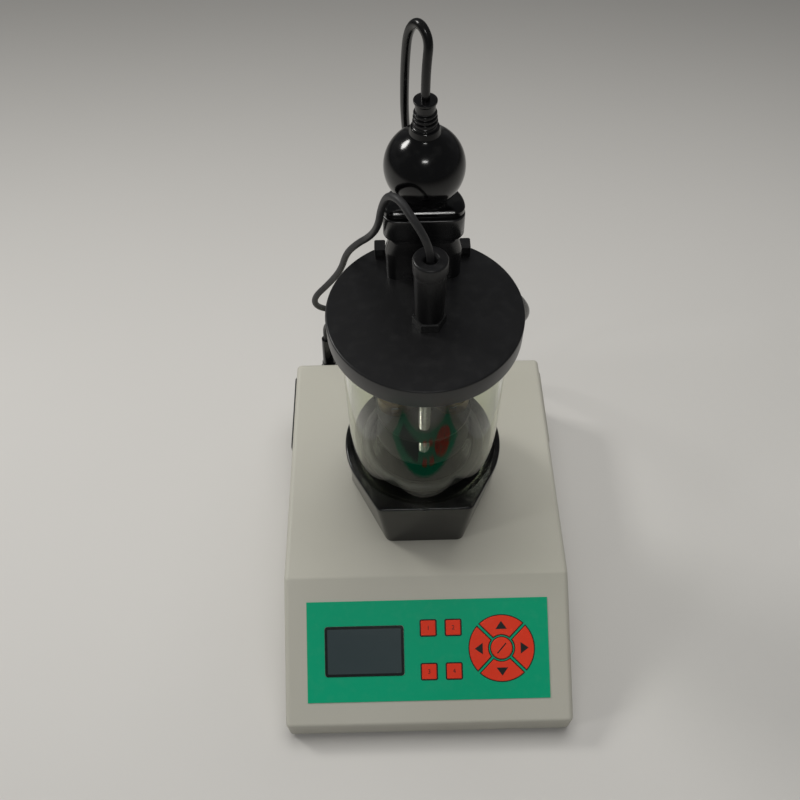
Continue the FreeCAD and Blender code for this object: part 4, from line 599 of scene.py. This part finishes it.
def tube_along(points, radius, sides=20):
    """A build function for a round tube with closed ends along a line of points."""
    def build(shape):
        rings = []
        side = Vector((1, 0, 0))
        for index, point in enumerate(points):
            before = points[max(index - 1, 0)]
            after = points[min(index + 1, len(points) - 1)]
            along = (after - before).normalized()
            side = (side - along * side.dot(along)).normalized()
            other = along.cross(side)
            ring = []
            for step in range(sides):
                angle = math.tau * step / sides
                outward = side * math.cos(angle) + other * math.sin(angle)
                ring.append(shape.verts.new(point + outward * radius))
            rings.append(ring)
        for lower, upper in zip(rings, rings[1:]):
            for step in range(sides):
                follow = (step + 1) % sides
                shape.faces.new((lower[step], lower[follow], upper[follow], upper[step]))
        shape.faces.new(list(reversed(rings[0])))
        shape.faces.new(rings[-1])
    return build


def make_cable(name, route, diameter, node, finish=None):
    """A rubber cable from its exit to its far end."""
    points = spline_points(name, route)
    mesh = mesh_from(tube_along(points, diameter / 2), name)
    cable = add_piece(name, mesh, "cable_black", None, finish=finish)
    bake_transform(cable)
    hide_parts(node)


def middle_of(node):
    """Middle of a solid's box in millimetres."""
    low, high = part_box(node)
    return (low + high) / 2 / MM


def make_cables():
    """Both cables along the solids' routes, in millimetres. The heater cable starts at the rear panel."""
    heater_wide = 4.8 * MM
    sensor_wide = 4.4 * MM
    plug_y = plug_axis.y / MM
    sleeve_end = sleeve_high.z / MM
    gland_x, _, gland_z = middle_of("heater_gland")
    gland_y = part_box("heater_gland")[1].y / MM
    make_cable("heater_cable", [
        (gland_x, gland_y, gland_z),
        (gland_x, gland_y + 15, gland_z),
        (74, gland_y + 25, 57),
        (84, gland_y + 17, 80),
        (91, plug_y + 98, 112),
        (92, plug_y + 82, 146),
        (80, plug_y + 68, 180),
        (54, plug_y + 57, 217),
        (26, plug_y + 50, 258),
        (4, plug_y + 46, 300),
        (-8, plug_y + 38, 348),
        (-10.2, plug_y + 28, 380),
        (-10.2, plug_y + 22.8, 404),
        (-9.5, plug_y + 18.6, 424.4),
        (-8.3, plug_y + 15.5, 438),
        (-5, plug_y + 11, 445.8),
        (-1.5, plug_y + 5.8, 446.8),
        (1.5, plug_y + 1.9, 441),
        (0.5, plug_y + 0.6, 431),
        (0, plug_y, 420),
        (0, plug_y, sleeve_end),
    ], heater_wide, "heater_cord")
    handle_x = handle_axis.x / MM
    handle_y = handle_axis.y / MM
    well = (handle_high.z - WELL_DEPTH) / MM
    boot_x, boot_y, _ = middle_of("sensor_connector")
    boot_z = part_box("sensor_connector")[1].z / MM
    make_cable("sensor_cable", [
        (handle_x, handle_y, well),
        (handle_x, handle_y, well + 9),
        (handle_x - 3.5, handle_y + 0.7, 355),
        (-8, handle_y + 4, 366),
        (-14, handle_y + 12, 371.5),
        (-20.5, handle_y + 22, 366),
        (-24.5, handle_y + 30, 349),
        (-26.5, handle_y + 32, 334),
        (-32, handle_y + 47, 311),
        (-41, handle_y + 53, 299),
        (-49, handle_y + 59.5, 284),
        (-54, handle_y + 66, 262),
        (-64, handle_y + 73, 241),
        (-77, handle_y + 78, 221),
        (-77, handle_y + 83, 205),
        (-66, handle_y + 92, 190),
        (-65, handle_y + 107, 164),
        (-74, handle_y + 123, 136),
        (boot_x, boot_y, 116),
        (boot_x, boot_y, boot_z),
    ], sensor_wide, "sensor_cord",
        "cable_grey")


# Pieces of the lid


def make_lid():
    """A thick disc whose recess drops over the beaker's rim."""
    base = Vector((axis.x, axis.y, lid_low.z))
    radius = (lid_high.x - lid_low.x) / 2 / MM
    thick = (lid_high.z - lid_low.z) / MM
    recess = 56.2
    depth = 1.6
    lid = lathe("lid_disc", [
        (0, depth), (recess, depth), (recess, 0, 0.3), (radius, 0, 1.2), (radius, thick, 1.4), (0, thick),
    ], base, "lid_black", "lid_assembly", around=192)
    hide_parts("lid")


def make_handle():
    """The probe handle: a shank in the lid, a grip that widens upwards, a head with the cable's well."""
    base = Vector((handle_axis.x, handle_axis.y, lid_high.z))
    top = (handle_high.z - lid_high.z) / MM
    floor = top - WELL_DEPTH / MM
    shank = 6
    foot = 8.8
    groove = 9.2
    head = 10.2
    well = 3.6
    handle = lathe("handle_grip", [
        (0, -8), (shank, -8, 0.4), (shank, 7), (foot, 7, 0.8), (9.45, top - 11.2, 0.5),
        (groove, top - 10.6, 0.2), (groove, top - 10.2, 0.2), (head, top - 9.2, 0.5), (head, top, 1.8),
        (5.0, top, 0.8), (well, top - 1.6, 0.6), (well, floor), (0, floor),
    ], base, "lid_black", "lid_assembly", around=96)
    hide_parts("sensor_handle")


def flat_fronted(radius, front, steps=20):
    """Outline of a round piece cut flat at the front: the flat's distance also rounds its corners."""
    points = []
    for step in range(2 * steps + 1):
        angle = math.pi * step / (2 * steps)
        points.append((radius * math.cos(angle), radius * math.sin(angle)))
    for side, first, last in ((-1, 2 * steps + 1, 3 * steps), (1, 3 * steps, 4 * steps - 1)):
        for step in range(first, last + 1):
            angle = math.pi / 2 * step / steps
            points.append((side * (radius - front) + front * math.cos(angle), front * math.sin(angle)))
    return points


def stacked(name, levels, centre, material, body, smooth, finish=None):
    """A piece lofted through flat-fronted outlines. Levels are (radius, front, height) in millimetres."""
    def build(shape):
        rings = []
        for radius, front, height in levels:
            rings.append([shape.verts.new((centre.x + x * MM, centre.y + y * MM, centre.z + height * MM))
                          for x, y in flat_fronted(radius, front)])
        shape.faces.new(list(reversed(rings[0])))
        shape.faces.new(rings[-1])
        for lower, upper in zip(rings, rings[1:]):
            for index in range(len(lower)):
                follow = (index + 1) % len(lower)
                shape.faces.new((lower[index], lower[follow], upper[follow], upper[index]))

    return add_piece(name, mesh_from(build, name), material, body, smooth, finish)


def rounded_top(radius, front, height, rounding, steps=5):
    """Levels of a rounded top edge, from the wall to the flat top."""
    levels = []
    for step in range(steps + 1):
        bend = math.pi / 2 * step / steps
        inset = rounding * (1 - math.cos(bend))
        levels.append((radius - inset, front - inset, height - rounding * (1 - math.sin(bend))))
    return levels


def make_socket():
    """The heater socket: foot, waist and collar in one column, on a strap with an ear at each end."""
    base = Vector((plug_axis.x, plug_axis.y, lid_high.z))
    height = (socket_high.z - lid_high.z) / MM
    foot = (23.4, 7)
    waist = (20.7, 5.6)
    collar = (24.2, 8.2)
    levels = [(*foot, 0), (*foot, 20.2), (23.2, 6.9, 20.9), (20.9, 5.7, 29.2), (*waist, 29.7),
              (*waist, 31.7), (21.0, 5.8, 32.2), (23.9, 8.0, 34.1), (*collar, 34.6)]
    column = stacked("socket_column", levels + rounded_top(*collar, height, 1.0), base, "lid_black",
                     "lid_assembly", 30, "socket_black")
    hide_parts("heater_socket")
    strap_y = plug_axis.y + 15.2 * MM
    strap_wide = 9 * MM
    strap = rounded_rectangle(61 * MM, strap_wide, 1.5 * MM)
    spot = Matrix.Translation((axis.x, strap_y, lid_high.z))
    mesh = mesh_from(prism(strap, 0, 3 * MM, spot), "socket_strap")
    add_piece("socket_strap", mesh, "lid_black", "lid_assembly")
    ear = rounded_rectangle(7 * MM, strap_wide, 1.2 * MM)
    for label, side in (("left", -1), ("right", 1)):
        spot = Matrix.Translation((axis.x + side * 27 * MM, strap_y, lid_high.z))
        mesh = mesh_from(prism(ear, 2 * MM, 8.5 * MM, spot), "ear")
        add_piece(f"socket_ear_{label}", mesh, "lid_black", "lid_assembly")


def make_plug():
    """The moulded plug: flat-fronted flange, ball grip on a neck, and the ribbed sleeve."""
    base = Vector((plug_axis.x, plug_axis.y, socket_high.z))
    levels = [(23.5, 6.2, 0), (23.8, 6.5, 0.4), (23.8, 6.5, 4.1), (23.6, 6.3, 4.3), (22.6, 5.3, 5.3),
              (22.3, 5.0, 5.5)]
    flange = stacked("plug_flange", levels, base, "gloss_black", "lid_assembly", 40)
    shell = lathe("plug_shell", ball_grip(), base, "gloss_black", "lid_assembly", around=144, smooth=60)
    neck_front = 5.2
    lean_from = 6
    neck_top = 18
    # The neck is cut flat in front like the flange, and the cut leans forward above it to meet the ball.
    for vertex in shell.data.vertices:
        rise = (vertex.co.z - base.z) / MM
        if rise < neck_top:
            front = neck_front + max(rise - lean_from, 0)
            vertex.co.y = max(vertex.co.y, base.y - front * MM)
    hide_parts("plug_body")
    foot = Vector((plug_axis.x, plug_axis.y, sleeve_low.z))
    sleeve = lathe("plug_sleeve_ribbed", ribbed_sleeve(), foot, "cable_black", "lid_assembly", around=96,
                   smooth=60)
    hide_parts("plug_sleeve")
    return [flange, shell, sleeve]


def ball_grip():
    """Profile of the plug's neck, ball and shoulder, from the middle of the foot to that of the top."""
    ball = 22.7
    middle = 34
    low = -16.6
    high = 20.3
    steps = 24
    neck = 13.4
    top = 60
    corners = [(0, 4.5), (neck, 4.5), (neck, 8), (13.6, 13, 3)]
    for step in range(steps + 1):
        rise = low + (high - low) * step / steps
        corners.append((math.sqrt(ball ** 2 - rise ** 2), middle + rise))
    return corners + [(8.4, 56.0, 1.5), (7.8, 59.6, 0.5), (7.4, top, 0.3), (0, top)]


def ribbed_sleeve():
    """Profile of the sleeve: a foot, ribs that narrow upwards, a plain neck and a lip round the cable."""
    ribs = 4
    reach = 10
    foot = 7.0
    neck = 5.4
    lip = 6.3
    top = 16
    corners = [(0, 0), (foot, 0, 0.4)]
    for rib in range(ribs):
        wide = 6.4 - rib / ribs
        crest = wide + 0.7 if rib else wide
        low = reach * rib / ribs
        corners += [(crest, low + 0.4, 0.4), (crest - 0.2, low + 1.3, 0.4), (wide - 0.5, low + 1.6, 0.3),
                    (wide - 0.6, low + 2.4, 0.3)]
    return corners + [(neck, reach, 0.5), (neck, 13.6, 0.6), (lip, 14.6, 0.4), (lip, 15.7, 0.4),
                      (5.5, top, 0.2), (0, top)]


def make_beaker():
    """Straight glass walls, a rounded foot and a rim that opens a little."""
    base = Vector((axis.x, axis.y, beaker_low.z))
    outer = 54
    inner = 51.8
    floor = 2.5
    straight = 141
    top = 145
    glass = lathe("beaker_glass", [
        (0, 0), (outer, 0, 6), (outer, straight, 4), (55.2, top, 0.5), (53, top, 0.5), (inner, straight, 4),
        (inner, floor, 5.8), (0, floor),
    ], base, "glass", "case", steps=10, around=192, smooth=60)
    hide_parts("beaker")


# Panel prints


def arrow_key_outline(extra):
    """Corner points of one arrow key about the pad's centre, pointing along +X, grown by extra."""
    gap = PAD_GAP / 2 - extra
    outer = PAD_OUTER + extra
    inner = PAD_INNER - extra
    steps = 16
    points = []
    for radius, direction in ((outer, 1), (inner, -1)):
        swing = math.pi / 4 - math.asin(gap / radius)
        for step in range(steps + 1):
            angle = direction * (-swing + 2 * swing * step / steps)
            points.append((radius * math.cos(angle), radius * math.sin(angle)))
    return points


def turned_outline(points, angle, across, up):
    """An outline turned about its origin and moved."""
    cosine = math.cos(angle)
    sine = math.sin(angle)
    return [(across + x * cosine - y * sine, up + x * sine + y * cosine) for x, y in points]


def make_prints():
    """Black outlines round the keys, arrow marks, and plain numbers on the square keys."""
    film = OVERLAY_THICK
    ink = 0.06 * MM
    near = 0.21 * MM
    far = 0.75 * MM
    outside = KEY_SIDE + 2.0 * MM
    inside = KEY_SIDE + 0.44 * MM
    arrow_long = 6.0 * MM
    arrow_wide = 8.6 * MM
    for number, (row, column) in enumerate(((0, 0), (0, 1), (1, 0), (1, 1)), start=1):
        spot = PANEL @ Matrix.Translation((KEY_COLUMNS[column], KEY_ROWS[row], 0))
        outer = rounded_rectangle(outside, outside, 1.6 * MM)
        inner = rounded_rectangle(inside, inside, 1.0 * MM)
        add_print(f"key_{number}_outline", frame_strip(outer, inner, film, film + ink, spot), "case")
        add_text(f"key_{number}_mark", str(number), 4.6 * MM, spot @ Matrix.Translation((0, 0, KEY_STAND)),
                 f"key_{number}", ink)
    for label, angle in (("right", 0), ("up", 90), ("left", 180), ("down", 270)):
        turn = math.radians(angle)
        outer = turned_outline(arrow_key_outline(far), turn, PAD_ACROSS, FACE_RISE)
        inner = turned_outline(arrow_key_outline(near), turn, PAD_ACROSS, FACE_RISE)
        add_print(f"arrow_{label}_outline", frame_strip(outer, inner, film, film + ink, PANEL), "case")
        tip = (PAD_OUTER + PAD_INNER + arrow_long) / 2
        tail = tip - arrow_long
        corners = [(tip, 0), (tail, arrow_wide / 2), (tail, -arrow_wide / 2)]
        mark = turned_outline(corners, turn, PAD_ACROSS, FACE_RISE)
        add_print(f"arrow_{label}_mark", prism(mark, KEY_STAND, KEY_STAND + ink, PANEL), f"key_{label}")
    outer = pad_circle(PAD_MIDDLE + far)
    inner = pad_circle(PAD_MIDDLE + near)
    add_print("middle_outline", frame_strip(outer, inner, film, film + ink, PANEL), "case")
    slash = rounded_rectangle(10 * MM, 0.9 * MM, 0.3 * MM)
    lean = Matrix.Rotation(math.radians(48), 4, "Z")
    spot = PANEL @ Matrix.Translation((PAD_ACROSS, FACE_RISE, 0)) @ lean
    add_print("middle_mark", prism(slash, KEY_STAND, KEY_STAND + ink, spot), "key_middle")


def add_print(name, build, body):
    add_piece(name, mesh_from(build, name), "print_black", body)


def pad_circle(radius, steps=64):
    """A circle about the pad's centre, in the panel's plane."""
    points = []
    for step in range(steps):
        angle = math.tau * step / steps
        points.append((PAD_ACROSS + radius * math.cos(angle), FACE_RISE + radius * math.sin(angle)))
    return points


def add_text(name, words, size, matrix, body, thick):
    """Plain lettering as a thin mesh, its middle at the matrix's place."""
    text = bpy.data.curves.new(name, "FONT")
    text.body = words
    text.size = size
    text.align_x = "CENTER"
    text.align_y = "CENTER"
    text.extrude = thick / 2
    holder = bpy.data.objects.new(name + "_text", text)
    bpy.context.scene.collection.objects.link(holder)
    graph = bpy.context.evaluated_depsgraph_get()
    mesh = bpy.data.meshes.new_from_object(holder.evaluated_get(graph))
    bpy.data.objects.remove(holder)
    mesh.transform(matrix @ Matrix.Translation((0, 0, thick / 2)))
    mesh.materials.clear()
    add_piece(name, mesh, "print_black", body)


def make_display():
    """Dark border with rounded corners and the slate-coloured screen in it."""
    low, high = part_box("display_window")
    spot = PANEL @ Matrix.Translation(((low.x + high.x) / 2, FACE_RISE, 0))
    outline = rounded_rectangle(59.4 * MM, 36.9 * MM, 2.2 * MM)
    mesh = mesh_from(prism(outline, 0, 0.9 * MM, spot), "window_border")
    window = add_piece("window_border", mesh, "window_black", "case")
    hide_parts("display_window")
    pane = rounded_rectangle(55.4 * MM, 33 * MM, 0.8 * MM)
    mesh = mesh_from(prism(pane, 0.85 * MM, 0.96 * MM, spot), "screen_pane")
    add_piece("screen_pane", mesh, "display", "case")


# Things made by a rule: threads and screws


def tree_piece(name, build_tree, values, material, body):
    """Runs a geometry tree on an empty mesh, keeps its result as a plain mesh, and places it."""
    tree = build_tree()
    holder = bpy.data.objects.new(name + "_tree", bpy.data.meshes.new(name + "_seed"))
    bpy.context.scene.collection.objects.link(holder)
    modifier = holder.modifiers.new("tree", "NODES")
    modifier.node_group = tree
    for item in tree.interface.items_tree:
        if item.item_type == "SOCKET" and item.in_out == "INPUT" and item.name in values:
            modifier[item.identifier] = values[item.name]
    graph = bpy.context.evaluated_depsgraph_get()
    mesh = bpy.data.meshes.new_from_object(holder.evaluated_get(graph))
    bpy.data.objects.remove(holder)
    return add_piece(name, mesh, material, body)


def new_tree(name, inputs):
    tree = bpy.data.node_groups.new(name, "GeometryNodeTree")
    for label, kind, value in inputs:
        tree.interface.new_socket(label, in_out="INPUT", socket_type=kind).default_value = value
    tree.interface.new_socket("Geometry", in_out="OUTPUT", socket_type="NodeSocketGeometry")
    return tree, tree.nodes.new("NodeGroupInput"), tree.nodes.new("NodeGroupOutput")


def end_tree(tree, instances, leaving, material):
    """Realises the instances, gives them their material and ends the tree."""
    real = tree.nodes.new("GeometryNodeRealizeInstances")
    painted = tree.nodes.new("GeometryNodeSetMaterial")
    painted.inputs["Material"].default_value = MATERIALS[material]
    tree.links.new(instances, real.inputs["Geometry"])
    tree.links.new(real.outputs["Geometry"], painted.inputs["Geometry"])
    tree.links.new(painted.outputs["Geometry"], leaving.inputs["Geometry"])


def thread_tree():
    """A threaded rod: ridges repeated up a line round a core."""
    tree, entry, leaving = new_tree("thread", [
        ("Foot", "NodeSocketVector", (0, 0, 0)), ("Top", "NodeSocketVector", (0, 0, 0.1)),
        ("Pitch", "NodeSocketFloat", 1.25 * MM), ("Radius", "NodeSocketFloat", 4 * MM),
        ("Depth", "NodeSocketFloat", 0.7 * MM),
    ])
    line = tree.nodes.new("GeometryNodeCurvePrimitiveLine")
    tree.links.new(entry.outputs["Foot"], line.inputs["Start"])
    tree.links.new(entry.outputs["Top"], line.inputs["End"])
    spaced = tree.nodes.new("GeometryNodeCurveToPoints")
    spaced.mode = "LENGTH"
    tree.links.new(line.outputs["Curve"], spaced.inputs["Curve"])
    tree.links.new(entry.outputs["Pitch"], spaced.inputs["Length"])
    ridge = tree.nodes.new("GeometryNodeMeshCone")
    ridge.inputs["Vertices"].default_value = 40
    core = add_math(tree, "SUBTRACT", entry.outputs["Radius"], entry.outputs["Depth"])
    half = add_math(tree, "MULTIPLY", entry.outputs["Pitch"], 0.5)
    tree.links.new(core, ridge.inputs["Radius Top"])
    tree.links.new(entry.outputs["Radius"], ridge.inputs["Radius Bottom"])
    tree.links.new(half, ridge.inputs["Depth"])
    turned = tree.nodes.new("GeometryNodeTransform")
    turned.inputs["Scale"].default_value = (1, 1, -1)
    tree.links.new(ridge.outputs["Mesh"], turned.inputs["Geometry"])
    flipped = tree.nodes.new("GeometryNodeFlipFaces")
    tree.links.new(turned.outputs["Geometry"], flipped.inputs["Mesh"])
    both = tree.nodes.new("GeometryNodeJoinGeometry")
    tree.links.new(ridge.outputs["Mesh"], both.inputs["Geometry"])
    tree.links.new(flipped.outputs["Mesh"], both.inputs["Geometry"])
    row = tree.nodes.new("GeometryNodeInstanceOnPoints")
    tree.links.new(spaced.outputs["Points"], row.inputs["Points"])
    tree.links.new(both.outputs["Geometry"], row.inputs["Instance"])
    end_tree(tree, row.outputs["Instances"], leaving, "steel")
    return tree


def make_rods():
    """The rack's two threaded rods, a little short of the solids' ends."""
    inset = 0.7 * MM
    for label in ("front", "rear"):
        low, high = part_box(f"rod_{label}")
        middle = (low + high) / 2
        foot = Vector((middle.x, middle.y, low.z + inset))
        top = Vector((middle.x, middle.y, high.z - inset))
        rod = tree_piece(f"threaded_rod_{label}", thread_tree, {"Foot": foot, "Top": top}, "steel",
                         "lid_assembly")
        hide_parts(f"rod_{label}")


def screw_tree():
    """Pan-head screws with a cross slot on a grid of four corners, facing along an axis."""
    tree, entry, leaving = new_tree("screws", [
        ("Middle", "NodeSocketVector", (0, 0, 0)), ("Width", "NodeSocketFloat", 0.1),
        ("Height", "NodeSocketFloat", 0.05), ("Turn", "NodeSocketVector", (0, 0, 0)),
        ("Radius", "NodeSocketFloat", 2.6 * MM),
    ])
    head_height = 1.3 * MM
    slot_long = 3.0 * MM
    slot_wide = 0.6 * MM
    slot_deep = 0.8 * MM
    grid = tree.nodes.new("GeometryNodeMeshGrid")
    grid.inputs["Vertices X"].default_value = 2
    grid.inputs["Vertices Y"].default_value = 2
    tree.links.new(entry.outputs["Width"], grid.inputs["Size X"])
    tree.links.new(entry.outputs["Height"], grid.inputs["Size Y"])
    head = tree.nodes.new("GeometryNodeMeshCone")
    head.inputs["Vertices"].default_value = 28
    head.inputs["Depth"].default_value = head_height
    tree.links.new(entry.outputs["Radius"], head.inputs["Radius Bottom"])
    tree.links.new(add_math(tree, "MULTIPLY", entry.outputs["Radius"], 0.7), head.inputs["Radius Top"])
    slots = tree.nodes.new("GeometryNodeJoinGeometry")
    for size in ((slot_long, slot_wide, slot_deep), (slot_wide, slot_long, slot_deep)):
        bar = tree.nodes.new("GeometryNodeMeshCube")
        bar.inputs["Size"].default_value = size
        raised = tree.nodes.new("GeometryNodeTransform")
        raised.inputs["Translation"].default_value = (0, 0, head_height)
        tree.links.new(bar.outputs["Mesh"], raised.inputs["Geometry"])
        tree.links.new(raised.outputs["Geometry"], slots.inputs["Geometry"])
    cross = tree.nodes.new("GeometryNodeMeshBoolean")
    cross.operation = "DIFFERENCE"
    tree.links.new(head.outputs["Mesh"], cross.inputs["Mesh 1"])
    tree.links.new(slots.outputs["Geometry"], cross.inputs["Mesh 2"])
    row = tree.nodes.new("GeometryNodeInstanceOnPoints")
    tree.links.new(grid.outputs["Mesh"], row.inputs["Points"])
    tree.links.new(cross.outputs["Mesh"], row.inputs["Instance"])
    placed = tree.nodes.new("GeometryNodeTransform")
    tree.links.new(row.outputs["Instances"], placed.inputs["Geometry"])
    tree.links.new(entry.outputs["Middle"], placed.inputs["Translation"])
    tree.links.new(entry.outputs["Turn"], placed.inputs["Rotation"])
    end_tree(tree, placed.outputs["Geometry"], leaving, "steel")
    return tree


def make_screws():
    """Screws at the rear panel's corners."""
    inset = 5 * MM
    middle = (rear_low + rear_high) / 2
    tree_piece("rear_screws", screw_tree, {
        "Middle": Vector((middle.x, rear_high.y, middle.z)),
        "Width": rear_high.x - rear_low.x - 2 * inset, "Height": rear_high.z - rear_low.z - 2 * inset,
        "Turn": Vector((-math.pi / 2, 0, 0)),
    }, "steel", "case")


# Everything in order

make_camera()
make_stage()
make_lights()
for entry in frame["record"]["subparts"]:
    paint(nodes[entry["node"]], entry["material_slot"])
for name in ("ring_plate", "lower_plate"):
    paint(nodes[name], "plate_grey")
paint(nodes["heater_element"], "heater_grey")
paint(nodes["side_vent_right"], "vent_pale")
paint(nodes["hex_nut"], "nut_black")
make_beaker()
make_lid()
make_handle()
make_socket()
plug_pieces = make_plug()
make_cables()
make_prints()
make_display()
make_rods()
make_screws()
